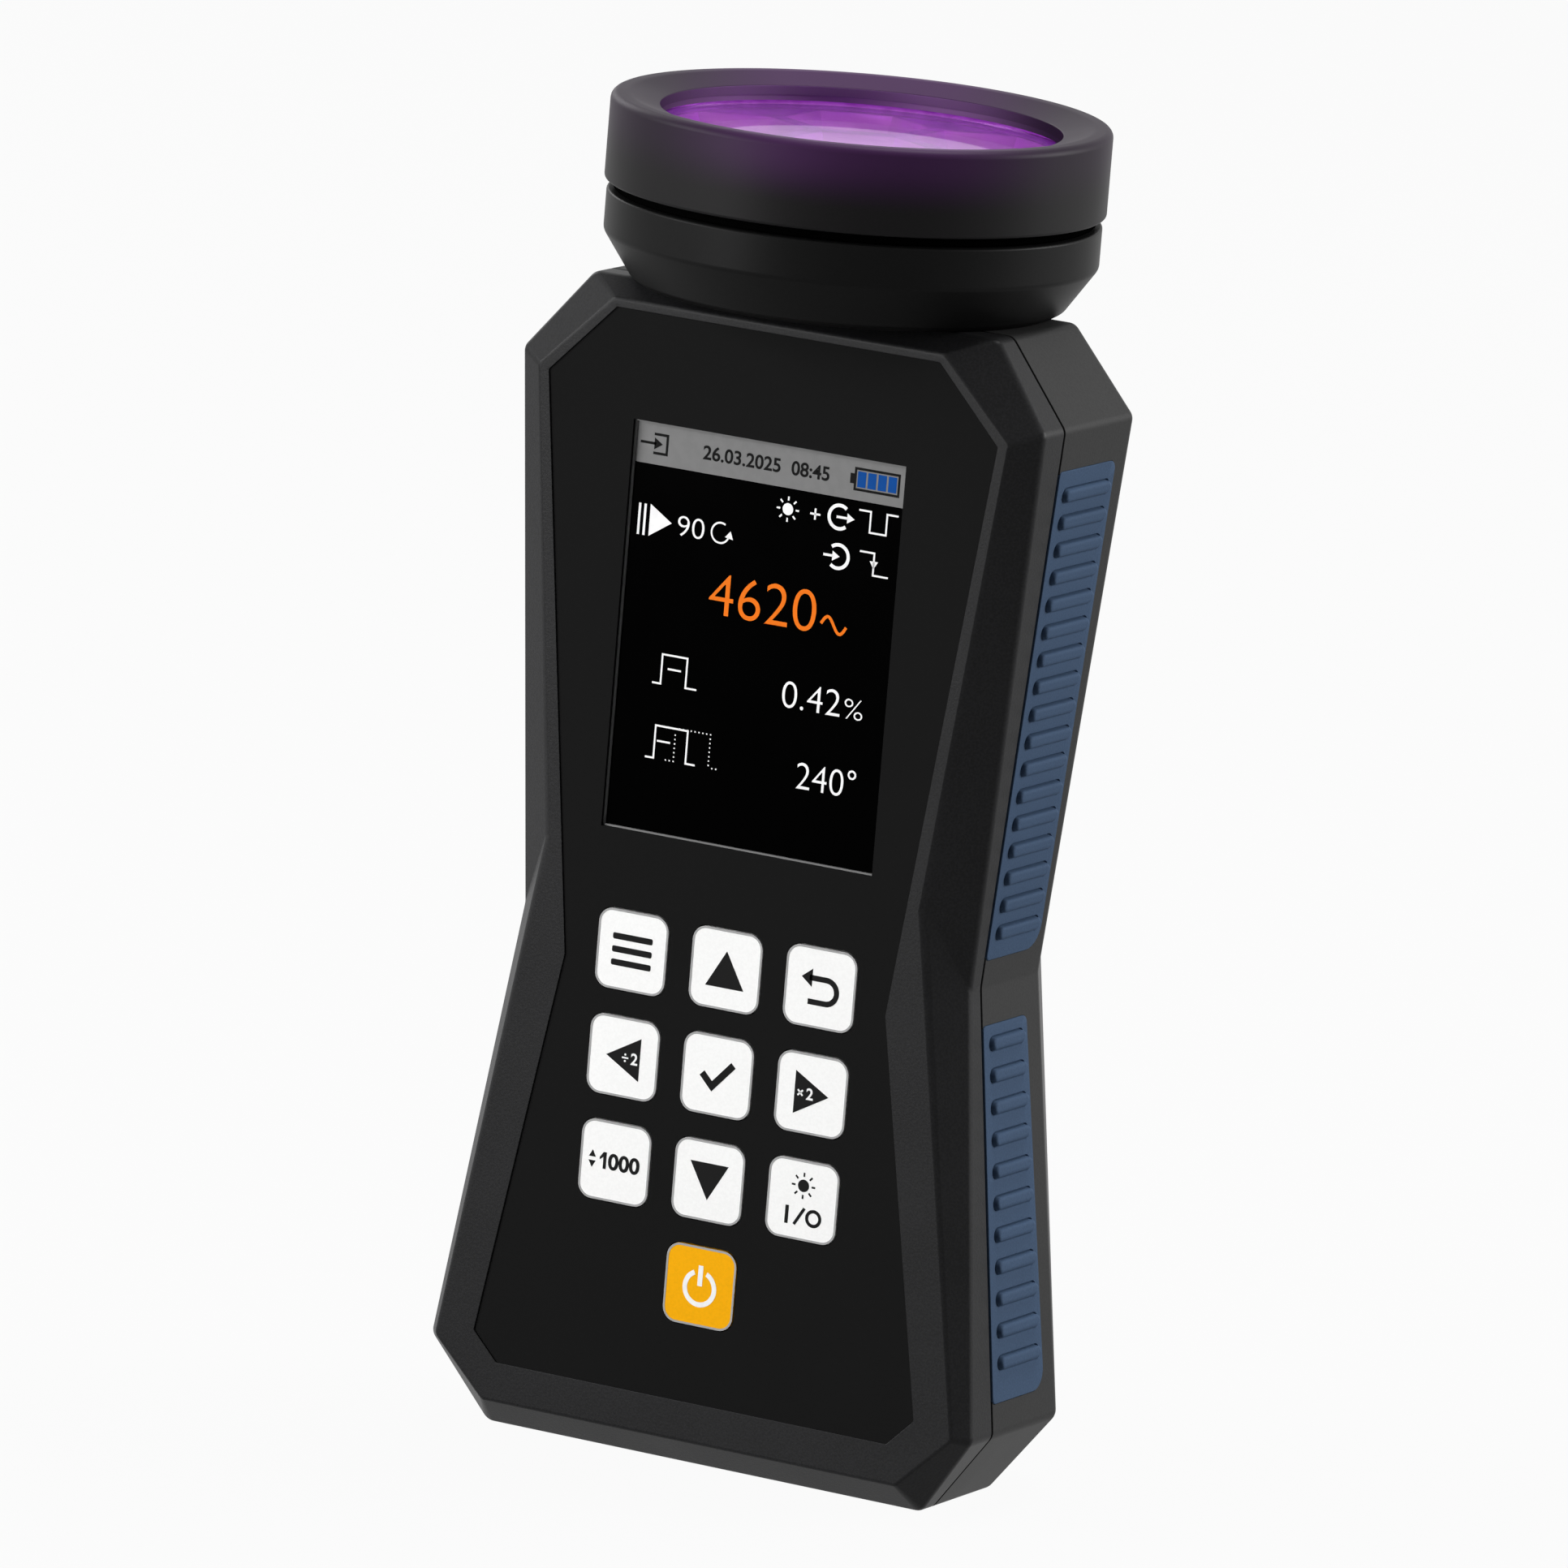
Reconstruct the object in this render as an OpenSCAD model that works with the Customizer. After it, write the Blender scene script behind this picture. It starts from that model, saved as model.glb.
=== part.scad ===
// Handheld LED stroboscope: hourglass body in two shells, keypad and colour display
// in front, round lamp head on top. X is right, the face looks to -Y, Z is up.
// The origin is on the ground, under the axis of the lamp head.

/* [Body outline] */
// Height of the body without the head
body_h = 186.4; // [180:0.2:195]
// Width across the flat top
top_w = 72.4; // [68:0.2:76]
// Width across the shoulders
shoulder_w = 93.4; // [90:0.2:98]
// How far the shoulders lie below the top
shoulder_drop = 13.3; // [11:0.1:15]
// Width across the waist
waist_w = 80.6; // [78:0.2:84]
// Height of the waist
waist_z = 83.8; // [80:0.2:88]
// Width across the foot
foot_w = 98.2; // [95:0.2:103]
// Height of the foot's corners
foot_z = 13.3; // [11:0.1:15]
// Width across the base
base_w = 79; // [76:0.2:82]
// Depth of the body from face to back
body_d = 44; // [43:0.5:47]
// Distance from the face to the axis of the head
axis_d = 21.6; // [21:0.1:23]
// Depth of the parting line behind the face
parting_d = 9.6; // [9.2:0.1:10.5]
// Width of the groove along the parting line in each shell
seam_w = 0.25; // [0.1:0.05:0.4]
// Depth of that groove
seam_deep = 0.45; // [0.2:0.05:0.6]
// Radius of the outline's corners
corner_r = 2; // [0.5:0.1:3]
// Radius of the edge between the front bevel and the sides
edge_r = 1.5; // [0.5:0.1:2]
// Radius of the edge between the sides and the rear bevel
rear_edge_r = 2.2; // [0.5:0.1:3]
// Wall thickness of the shells
wall = 2.5; // [2:0.1:2.8]

/* [Bevels] */
// Width of the front crease across the top
crease_top_w = 58.8; // [57:0.2:62]
// Drop of the crease below the top
crease_top_drop = 2.7; // [2:0.1:3.5]
// Width of the crease across the shoulders
crease_shoulder_w = 84.2; // [83:0.2:87]
// Drop of the crease below the shoulders
crease_shoulder_drop = 1.9; // [1:0.1:3]
// Width across the crease where the face starts to flare
flare_w = 67.4; // [66:0.2:70]
// Height of that place above the waist
flare_rise = 14.4; // [12:0.2:17]
// Width of the crease across the foot
crease_foot_w = 93.8; // [92:0.2:95]
// Rise of the crease above the foot's corners
crease_foot_rise = 0.5; // [0:0.1:1.5]
// Width of the crease across the base
crease_base_w = 75.2; // [73:0.2:77]
// Rise of the crease above the base
crease_base_rise = 4.9; // [4:0.1:5.5]
// Depth of the bevel at the top
bevel_top_d = 4.9; // [4:0.1:5.5]
// Depth of the bevel at the shoulders and the foot
bevel_corner_d = 2.8; // [2.4:0.1:3.6]
// Depth of the bevel at the waist and the base
bevel_deep_d = 6; // [5:0.1:7]
// Depth of the rear edge at the top
rear_top_d = 30; // [29:0.2:32]
// Depth of the rear edge at the shoulders
rear_shoulder_d = 32; // [31:0.2:34]
// Depth of the rear edge at the waist
rear_waist_d = 28.4; // [28.2:0.2:29.6]
// Depth of the rear edge at the foot
rear_foot_d = 30.6; // [30:0.2:32]
// Depth of the rear edge at the base
rear_base_d = 28; // [27:0.2:29]
// How far the rear bevel draws the sides in
rear_inset = 8; // [7:0.1:8.6]
// How far the rear bevel draws the top and the base in
rear_inset_z = 5; // [4:0.1:6]

/* [Front panel] */
// Step from the crease down to the panel
panel_step = 0.25; // [0.1:0.05:0.5]
// Thickness of the panel
panel_t = 1; // [0.8:0.1:1.3]
// Rim of the frame beside the panel at the top
rim_top = 0.6; // [0.4:0.1:1]
// Rim of the frame beside the panel at the shoulders
rim_shoulder = 2; // [1.6:0.1:2.6]
// Width of the panel at the waist
panel_waist_w = 57.8; // [57:0.2:60]
// Height of the panel's waist below the body's waist
panel_waist_drop = 5.2; // [4:0.2:7]
// Width of the panel across its foot
panel_foot_w = 79.8; // [78:0.2:82]
// Height of the panel's foot corners above the base
panel_foot_z = 15.7; // [14.5:0.1:17]
// Width of the panel across its base
panel_base_w = 70.8; // [69:0.2:72]
// Height of the panel's base edge
panel_base_z = 11.2; // [10:0.1:12.5]
// Thickness of the shell under the panel
face_t = 2.5; // [2.3:0.1:2.8]

/* [Display] */
// Width of the visible screen
screen_w = 48.8; // [47:0.2:49.6]
// Height of the visible screen
screen_h = 65; // [63:0.2:66]
// Height of the screen's centre above the base
screen_z = 132.6; // [131.6:0.2:134]
// Thickness of the clear window
window_t = 1; // [0.8:0.1:1.2]
// Overlap of the window behind the panel
window_lip = 2; // [1.5:0.1:2.6]
// Width of the display module
lcd_w = 55; // [54:0.2:55.6]
// Height of the display module
lcd_h = 77.7; // [76:0.2:78.2]
// Thickness of the display module
lcd_t = 3; // [2.6:0.1:3.4]
// Drop of the module's centre below the screen's centre
lcd_drop = 3; // [2.6:0.2:3.4]
// Least room between the keys' flanges and the display above them
key_room = 1.5; // [1:0.1:1.8]
// Width of the display frame's bars
frame_w = 2; // [1.6:0.1:2.6]

/* [Keys] */
// Distance between neighbouring keys
key_pitch = 17; // [16.6:0.1:17.4]
// Height of the upper key row above the base
key_row_z = 81; // [80:0.2:81.4]
// Width of a key
key_w = 12.6; // [12:0.1:13.2]
// Height of a key
key_h = 12.8; // [12.2:0.1:13.4]
// Corner radius of a key
key_r = 2.4; // [1.5:0.1:3]
// Height of a key above the panel
key_proud = 0.1; // [0:0.05:0.2]
// Gap around a key
key_gap = 0.2; // [0.1:0.05:0.3]
// Travel of a key
key_travel = 0.6; // [0.4:0.1:0.7]
// Width of the flange that holds a key in
key_flange = 1; // [0.8:0.1:1.2]
// Thickness of that flange
key_flange_t = 0.8; // [0.6:0.1:0.9]
// Height of the dome under a key
dome_h = 1.6; // [1.4:0.1:1.7]
// Thickness of the keypad mat
mat_t = 1; // [0.8:0.1:1.1]

/* [Boards] */
// Thickness of the circuit boards
board_t = 1.6; // [1.2:0.1:2]
// Gap between the front shell's rear edge and the main board's front
board_lead = 0.4; // [0.2:0.1:0.6]
// Width of the main board
board_w = 61; // [60:0.2:61.4]
// Height of the main board's lower edge
board_z = 5; // [4:0.2:6]
// Height of the main board's upper edge above the display module
board_over = 5.6; // [5.4:0.2:6]
// Radius of a screw boss
boss_r = 2.6; // [2.2:0.1:2.8]
// Radius of the board screws' thread
screw_r = 1; // [0.8:0.1:1.2]
// Distance of the lower board screws from the middle
board_screw_x = 27.3; // [27.1:0.1:27.6]
// Distance of the upper board screws from the middle
board_top_screw_x = 24; // [20:0.5:26]
// Height of the lower board screws above the foot's corners
board_low_screw_rise = 10.7; // [9:0.1:12]
// Height of the board screws' heads
board_head_h = 1.2; // [1:0.1:1.5]
// Side of the main chip
chip_side = 14; // [10:0.5:16]
// Height of the main chip
chip_h = 1.4; // [1:0.1:2]
// Side of the memory chip
memory_side = 8; // [6:0.5:9]
// Distance of the smaller chips from the middle
chip_x = 17; // [16:0.5:20]
// Height of the display's socket on the board
socket_h = 2.2; // [1.8:0.1:2.6]
// Width of that socket
socket_w = 7; // [6:0.5:9]

/* [Battery] */
// Diameter of a cell
cell_dia = 18.4; // [18:0.1:19]
// Length of a cell
cell_h = 65; // [62:0.5:66]
// Height of the cells' lower end above the base
cell_z = 20; // [19:0.5:21]
// Wall of the battery cradle
cradle_t = 1.2; // [1:0.1:1.6]
// Width of the battery cradle's windows
cradle_window_w = 12; // [8:0.5:14]

/* [Lamp driver] */
// Width of the driver board
driver_w = 46; // [40:1:50]
// Height of the driver board
driver_h = 50; // [46:1:52]
// Height of its lower edge above the base
driver_z = 110; // [108:0.5:112]
// Length of its stand-offs
driver_post_h = 7; // [6:0.5:8]
// Distance of the stand-offs from the board's edges
driver_inset = 4; // [3.5:0.1:5]
// Side of the coil
coil_side = 12; // [10:0.5:13]
// Height of the coil
coil_h = 7; // [6:0.5:8]
// Radius of a capacitor
cap_r = 4; // [3:0.1:4.5]
// Height of a capacitor
cap_h = 9; // [8:0.5:10]
// Distance of the capacitors from the middle
cap_x = 13; // [12:0.5:14]

/* [Sockets] */
// Radius of a trigger jack's bore
jack_bore_r = 1.8; // [1.7:0.05:1.9]
// Depth of a trigger jack's bore
jack_bore_l = 13; // [12:0.5:13.5]
// Radius of a trigger jack's collar
jack_collar_r = 4; // [3.6:0.1:4.2]
// Side of a trigger jack's body
jack_side = 11; // [10:0.2:12]
// Distance of the trigger jacks from the middle
jack_x = 20; // [18:0.5:22]
// Width of the charging socket
usb_w = 9; // [8.8:0.1:9.4]
// Height of the charging socket's mouth
usb_h = 3.2; // [3:0.1:3.4]
// Length of the charging socket
usb_l = 7.4; // [7:0.1:8]

/* [Tripod thread] */
// Radius of the tripod thread
tripod_r = 3.175; // [3.175, 4.7625]
// Depth of the tripod thread
tripod_l = 9; // [8:0.5:9.5]
// Outer radius of the threaded insert
insert_r = 5.5; // [5.2:0.1:6.2]
// Height of the tripod thread above the base
tripod_z = 97.5; // [97:0.5:98.5]

/* [Housing screws] */
// Radius of a housing screw's shank
house_screw_r = 1.5; // [1.2:0.1:1.6]
// Radius of a housing screw's head
house_head_r = 2.8; // [2.5:0.1:3]
// Height of a housing screw's head
house_head_h = 2; // [1.6:0.1:2.4]
// Depth of the seats in which the heads lie
house_sunk = 4; // [3:0.1:5]
// Wall around those seats
house_post_t = 0.7; // [0.6:0.1:1]
// Distance of the upper housing screws from the middle
house_top_x = 34.6; // [34.5:0.1:35]
// Height of the upper housing screws above the base
house_top_z = 158; // [154:0.5:160]
// Distance of the lower housing screws from the middle
house_low_x = 35.6; // [34.6:0.1:36.4]
// Height of the lower housing screws above the base
house_low_z = 26; // [24:0.5:28]

/* [Grips] */
// Thickness of a grip in its pocket
grip_t = 1.4; // [1:0.1:1.6]
// Height of a grip's field above the wall
grip_proud = 0.15; // [0:0.05:0.3]
// Gap of a grip behind the parting line
grip_lead = 0.2; // [0.1:0.1:0.5]
// Height of a rib above the grip
rib_h = 0.8; // [0.5:0.1:1]
// Width of a rib
rib_w = 2.1; // [1.8:0.1:2.4]
// Distance of the ribs from the grip's front edge
rib_start = 2; // [1.5:0.1:3]
// Height of the upper grip's lower edge above the waist
grip_up_gap = 4.3; // [3.5:0.1:6]
// Length of the upper grip
grip_up_l = 78.6; // [76:0.2:80]
// Distance between the upper grip's ribs
rib_up_pitch = 4.4; // [4:0.1:5]
// Number of ribs on the upper grip
rib_up_n = 17; // [14:1:17]
// Height of the lower grip's upper edge below the waist
grip_low_gap = 6.2; // [5:0.1:8]
// Length of the lower grip
grip_low_l = 59.8; // [58:0.2:60]
// Distance between the lower grip's ribs
rib_low_pitch = 5.05; // [4.4:0.05:5.3]
// Number of ribs on the lower grip
rib_low_n = 11; // [9:1:11]
// Rear margin between the grips and the rear edge
grip_margin = 2.2; // [1.5:0.1:3]
// Distance of the first rib from the upper grip's top
rib_up_lead = 4; // [3:0.1:5]
// Distance of the first rib from the lower grip's top
rib_low_lead = 3.1; // [2.5:0.1:4]

/* [Lamp head] */
// Radius of the head's ring
head_r = 38.9; // [38:0.1:40]
// Radius of the bowl's lower edge
bowl_r = 34.2; // [33.5:0.1:35]
// Height of the bowl's tapered part
bowl_h = 7.6; // [7:0.1:9]
// Height of the straight ring above it
ring_h = 6.5; // [6:0.1:7.5]
// Wall thickness of the bowl's ring
bowl_wall = 2.7; // [2.2:0.1:3]
// Wall thickness of the bezel inside that ring
bezel_wall = 2.6; // [2:0.1:3]
// Thickness of the bowl's floor
bowl_floor = 4.6; // [4:0.1:5]
// Height of the groove under the bumper
groove_h = 1.55; // [1.2:0.05:1.8]
// Height of the bumper
bumper_h = 13.7; // [12.5:0.1:15]
// How far the bumper stands out over the ring
bumper_over = 0.5; // [0:0.1:0.8]
// Radius of the bumper's rounded shoulder
rim_r = 2.6; // [2:0.05:3]
// Width of the bumper's rim from its wall to the opening
rim_w = 7.8; // [7:0.1:8.4]
// Slope of the rim towards the glass, in degrees
rim_slope = 18; // [5:1:25]
// Thickness of the bumper on the bezel
bumper_t = 2; // [1.8:0.1:2.3]
// Depth of the glass below the bumper's rim
glass_depth = 4; // [3.6:0.1:4.6]
// Thickness of the bezel's lip over the glass
bezel_lip = 0.85; // [0.7:0.05:1]
// How far the glass reaches under that lip
glass_lip = 2.2; // [1.6:0.1:2.6]
// Width of the seal in the groove
seal_w = 1.1; // [0.9:0.1:1.2]
// Thickness of the glass
glass_t = 2; // [1.6:0.1:2.4]
// Radius of the neck between head and body
neck_r = 15; // [14:0.1:15.4]
// Length of the neck inside the body
neck_l = 7; // [5:0.2:8]
// Wall thickness of the neck
neck_wall = 2.5; // [2:0.1:3]
// Distance of the lamp screws from the middle
lamp_screw_x = 20.5; // [19.6:0.1:22]
// Depth offset of the lamp screws from the axis
lamp_screw_y = 5; // [4.4:0.2:5.4]
// Number of lamps around the middle one
ring_lamps = 6; // [5:1:6]
// Radius of a reflector cup at its mouth
cup_r = 10.4; // [9:0.1:10.5]
// Radius of a reflector cup at its foot
cup_foot_r = 3; // [2.6:0.1:3.4]
// Height of the heat sink
sink_h = 6; // [5:0.1:6.5]
// Number of fins on the heat sink
fins = 30; // [24:2:36]
// Thickness of a fin
fin_t = 1.2; // [1:0.1:1.6]
// Side of a light-emitting diode
led_side = 3.6; // [3:0.1:4]
// Height of its base
led_base_h = 0.9; // [0.6:0.1:1.2]

/* [Hidden] */
$fn = 96;

// Small gaps and overlaps
fit = 0.15;
slip = 0.05;
eps = 0.01;

// Depths behind the face, from front to back
panel_d = panel_step;
face_d = panel_d + panel_t;
window_d = face_d;
lcd_d = window_d + window_t;
cavity_d = face_d + face_t;
board_d = parting_d - board_lead;
back_in_d = body_d - wall;

// Half outlines from top to base, each point as [half width, depth, height]
lean = [1, 0.4, 0, -0.4, -1];
side_line = [[top_w / 2, body_h], [shoulder_w / 2, body_h - shoulder_drop],
             [waist_w / 2, waist_z], [foot_w / 2, foot_z], [base_w / 2, 0]];
bevel_ds = [bevel_top_d, bevel_corner_d, bevel_deep_d, bevel_corner_d, bevel_deep_d];
rear_ds = [rear_top_d, rear_shoulder_d, rear_waist_d, rear_foot_d, rear_base_d];
crease_line = [[crease_top_w / 2, body_h - crease_top_drop],
               [crease_shoulder_w / 2, body_h - shoulder_drop - crease_shoulder_drop],
               [flare_w / 2, waist_z + flare_rise],
               [crease_foot_w / 2, foot_z + crease_foot_rise],
               [crease_base_w / 2, crease_base_rise]];
panel_line = [[crease_top_w / 2 - rim_top, body_h - crease_top_drop - 1.5],
              [crease_shoulder_w / 2 - rim_shoulder, crease_line[1][1] - rim_top],
              [panel_waist_w / 2, waist_z - panel_waist_drop],
              [panel_foot_w / 2, panel_foot_z], [panel_base_w / 2, panel_base_z]];
back_line = [for (i = [0:4]) [side_line[i][0] - rear_inset,
             side_line[i][1] - rear_inset_z * lean[i]]];

// A line drawn in by a wall's thickness
function inset(line, t) = [for (i = [0:4]) [line[i][0] - t, line[i][1] - t * lean[i]]];
function at(line, d) = [for (p = line) [p[0], d, p[1]]];
function at_each(line, ds) = [for (i = [0:4]) [line[i][0], ds[i], line[i][1]]];
function both(half) = concat([for (p = half) [p[0], p[1] - axis_d, p[2]]],
                             [for (i = [4:-1:0]) [-half[i][0], half[i][1] - axis_d, half[i][2]]]);

// Places shared by several pieces
key_top_d = panel_d - key_proud;
key_flange_d = cavity_d + slip;
mat_d = board_d - mat_t;
dome_d = mat_d - dome_h;
stem_d = dome_d - key_travel - 2 * slip;
keys_top = key_row_z + key_h / 2 + key_flange + key_room;
// The module moves up where it would meet the keys
lcd_z = max(screen_z - lcd_drop, keys_top + lcd_h / 2);
board_top = lcd_z + lcd_h / 2 + board_over;
board_back_d = board_d + board_t;
cell_d = back_in_d - cradle_t - cell_dia / 2 - fit;
driver_d = back_in_d - driver_post_h - board_t;
jack_d = board_back_d + jack_side / 2;
usb_d = board_back_d + usb_h / 2;
floor_z = wall;
ring_z = body_h + bowl_h;
groove_z = ring_z + ring_h;
bumper_z = groove_z + groove_h;
head_top = bumper_z + bumper_h;
bumper_r = head_r + bumper_over;
bezel_r = bumper_r - bumper_t;
lip_r = bumper_r - rim_w;
glass_z = head_top - glass_depth;
glass_r = lip_r + glass_lip;
bezel_top = glass_z + bezel_lip;
sink_z = body_h + bowl_floor;
ring_in_r = head_r - bowl_wall;
sink_r = ring_in_r - bezel_wall - 2 * fit;
led_board_z = sink_z + sink_h;
cup_z = led_board_z + board_t;
cup_top = glass_z - glass_t;
board_screws_at = [[board_top_screw_x, board_top - boss_r - fit],
                   [board_screw_x, key_row_z - key_pitch],
                   [board_screw_x, foot_z + board_low_screw_rise]];
driver_screws_at = [for (z = [driver_z + driver_inset, driver_z + driver_h - driver_inset])
                    [driver_w / 2 - driver_inset, z]];
house_screws_at = [[house_top_x, house_top_z], [house_low_x, house_low_z]];
post_r = house_head_r + house_post_t;
tilt_up = atan2(shoulder_w - waist_w, 2 * (body_h - shoulder_drop - waist_z));
tilt_low = atan2(foot_w - waist_w, 2 * (waist_z - foot_z));

// Corner p between a and b as an arc of radius r in n steps, in space
function arc(a, p, b, r, n) = let (u = a - p, v = b - p, half = (180 - acos(u * v / (norm(u) * norm(v)))) / 2,
    reach = min(r * tan(half), 0.45 * norm(u), 0.45 * norm(v)),
    s = p + u * reach / norm(u), e = p + v * reach / norm(v))
    [for (k = [0:n]) let (t = k / n, c = [(1 - t) * (1 - t), 2 * t * (1 - t) * cos(half), t * t])
        (s * c[0] + p * c[1] + e * c[2]) / (c[0] + c[1] + c[2])];

// Ring of points with all its corners rounded
function smooth(ring, r = corner_r) = let (m = len(ring)) [for (i = [0:m - 1])
    each arc(ring[(i + m - 1) % m], ring[i], ring[(i + 1) % m], r, 4)];

// Three rings in depth with the edge at the middle one rounded
function edged(a, b, c, r) = let (paths = [for (i = [0:len(a) - 1]) arc(a[i], b[i], c[i], r, 3)])
    concat([a], [for (k = [0:3]) [for (path = paths) path[k]]], [c]);

// Solid between rings of points, the first ring in front
module loft(rings) {
    n = len(rings[0]);
    last = (len(rings) - 1) * n;
    polyhedron(points = [for (r = rings) each r], faces = concat(
        [[for (i = [0:n - 1]) i]],
        [for (k = [0:len(rings) - 2]) for (i = [0:n - 1]) each
            let (a = k * n + i, b = k * n + (i + 1) % n) [[a, a + n, b], [b, a + n, b + n]]],
        [[for (i = [n - 1:-1:0]) last + i]]));
}

// Turns a drawing in x and height into a plate that starts at a depth
module plate(d, t) translate([0, d - axis_d + t, 0]) rotate([90, 0, 0]) linear_extrude(t) children();

module outline(line) polygon([for (p = both(at(line, 0))) [p[0], p[2]]]);

module rounded(w, h, r) {
    square([w - 2 * r, h], center = true);
    square([w, h - 2 * r], center = true);
    for (x = [-1, 1], y = [-1, 1]) translate([x * (w / 2 - r), y * (h / 2 - r)]) circle(r, $fn = 32);
}

// A pin or bore along the depth
module rod(x, z, d1, d2, r) translate([x, d1 - axis_d, z]) rotate([-90, 0, 0]) cylinder(d2 - d1, r, r);

// Copies on both sides of the middle
module sides() {
    children();
    mirror([1, 0, 0]) children();
}

function key_x(col) = col * key_pitch;
function key_z(row) = key_row_z - row * key_pitch;
key_spots = concat([for (row = [0:2], col = [-1:1]) [col, row]], [[0, 3]]);

module key_holes(gap) for (k = key_spots)
    translate([key_x(k[0]), key_z(k[1])]) rounded(key_w + 2 * gap, key_h + 2 * gap, key_r + gap);

// Shells

// A ring of points drawn on past another one, by a share of the way between the two
function past(a, b, share) = [for (i = [0:4]) a[i] + (a[i] - b[i]) * share];

// Cuts a solid off square at two depths
module between(d1, d2) intersection() {
    translate([-foot_w, d1 - axis_d, -eps]) cube([2 * foot_w, d2 - d1, body_h + 2 * eps]);
    children();
}

module front_block() {
    between(0, parting_d - seam_w) loft(edged(
        smooth(both(past(at(crease_line, 0), at_each(side_line, bevel_ds), 0.2))),
        smooth(both(at_each(side_line, bevel_ds))), smooth(both(at(side_line, parting_d + 1))), edge_r));
    plate(parting_d - seam_w - eps, seam_w + eps) outline(inset(side_line, seam_deep));
}

module front_cavity() between(cavity_d, parting_d + 1) loft([
    both(at(inset(crease_line, wall * 0.6), 0)),
    both(at_each(inset(side_line, wall), [for (b = bevel_ds) b + wall * 0.6])),
    both(at(inset(side_line, wall), parting_d + 2))]);

module front_housing() color("#3b3b3c") {
    difference() {
        front_block();
        plate(-1, face_d + 1) outline([for (p = panel_line) [p[0] + fit, p[1]]]);
        difference() {
            front_cavity();
            sides() {
                for (s = board_screws_at) rod(s[0], s[1], face_d, board_d, boss_r);
                for (s = house_screws_at) rod(s[0], s[1], face_d, body_d, post_r);
            }
        }
        plate(window_d - eps, window_t + 2 * eps) translate([0, screen_z])
            square([screen_w + 2 * (window_lip + fit), screen_h + 2 * (window_lip + fit)], center = true);
        plate(lcd_d, body_d) translate([0, lcd_z])
            square([lcd_w + 2 * fit, lcd_h + 2 * fit], center = true);
        plate(0, cavity_d + 1) key_holes(key_gap);
        sides() {
            for (s = board_screws_at) rod(s[0], s[1], cavity_d, body_d, screw_r);
            for (s = house_screws_at) rod(s[0], s[1], cavity_d, body_d, house_screw_r);
        }
        neck_hole();
    }
}

module neck_hole() translate([0, 0, body_h - 3 * wall]) cylinder(4 * wall, neck_r + fit, neck_r + fit);

module rear_block() {
    between(parting_d + seam_w, body_d) loft(edged(
        smooth(both(at(side_line, parting_d - 1))), smooth(both(at_each(side_line, rear_ds))),
        smooth(both(past(at(back_line, body_d), at_each(side_line, rear_ds), 0.2))), rear_edge_r));
    plate(parting_d, seam_w + eps) outline(inset(side_line, seam_deep));
}

module rear_cavity() between(parting_d - 1, back_in_d) loft([
    both(at(inset(side_line, wall), parting_d - 2)),
    both(at_each(inset(side_line, wall), [for (d = rear_ds) d - wall * 0.4])),
    both(at(inset(back_line, wall), body_d))]);

module rear_posts() {
    sides() for (s = house_screws_at) rod(s[0], s[1], parting_d, body_d - wall / 2, post_r);
    rod(0, tripod_z, body_d - tripod_l - 2, body_d - wall / 2, insert_r + wall * 0.8);
    sides() for (s = driver_screws_at) rod(s[0], s[1], driver_d + board_t, body_d - wall / 2, boss_r);
}

module rear_housing() color("#3f3e3d") difference() {
    rear_block();
    difference() {
        rear_cavity();
        rear_posts();
    }
    sides() for (s = house_screws_at) {
        rod(s[0], s[1], 0, body_d + 1, house_screw_r + fit);
        rod(s[0], s[1], body_d - house_sunk, body_d + 1, house_head_r + fit);
    }
    rod(0, tripod_z, body_d - tripod_l, body_d + 1, insert_r);
    sides() for (s = driver_screws_at) rod(s[0], s[1], driver_d + board_t, back_in_d, screw_r);
    neck_hole();
    sides() for (y = [-1, 1]) translate([lamp_screw_x, y * lamp_screw_y, body_h - 2 * wall])
        cylinder(3 * wall, screw_r + fit, screw_r + fit);
    sides() translate([jack_x, jack_d - axis_d, -1])
        cylinder(wall + 2, jack_collar_r + fit, jack_collar_r + fit);
    usb_mouth(fit, -1, wall + 2);
    sides() {
        grip_up_place() translate([0, 0, -grip_t]) linear_extrude(grip_t + 1) grip_up_outline(slip);
        grip_low_place() translate([0, 0, -grip_t]) linear_extrude(grip_t + 1) grip_low_outline(slip);
    }
}

// Front panel and display

module front_panel() color("#1c1c1c") plate(panel_d, panel_t) difference() {
    outline(panel_line);
    translate([0, screen_z]) square([screen_w, screen_h], center = true);
    key_holes(key_gap);
}

module display_window() color("#050505") plate(window_d, window_t) translate([0, screen_z])
    square([screen_w + 2 * window_lip, screen_h + 2 * window_lip], center = true);

module lcd_module() color("#8a8f94") plate(lcd_d, lcd_t) translate([0, lcd_z])
    square([lcd_w, lcd_h], center = true);

module display_frame() color("#2a2a2a") plate(lcd_d + lcd_t, board_d - lcd_d - lcd_t)
    translate([0, lcd_z]) difference() {
        square([lcd_w, lcd_h], center = true);
        square([lcd_w - 2 * frame_w, lcd_h - 2 * frame_w], center = true);
    }

// Keys

module key_piece(col, row, shade) color(shade) translate([key_x(col), 0, key_z(row)]) {
    plate(key_top_d, key_flange_d - key_top_d + eps) rounded(key_w, key_h, key_r);
    plate(key_flange_d, key_flange_t) rounded(key_w + 2 * key_flange, key_h + 2 * key_flange, key_r);
    rod(0, 0, key_flange_d + key_flange_t - eps, stem_d, key_w / 5);
}

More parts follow.
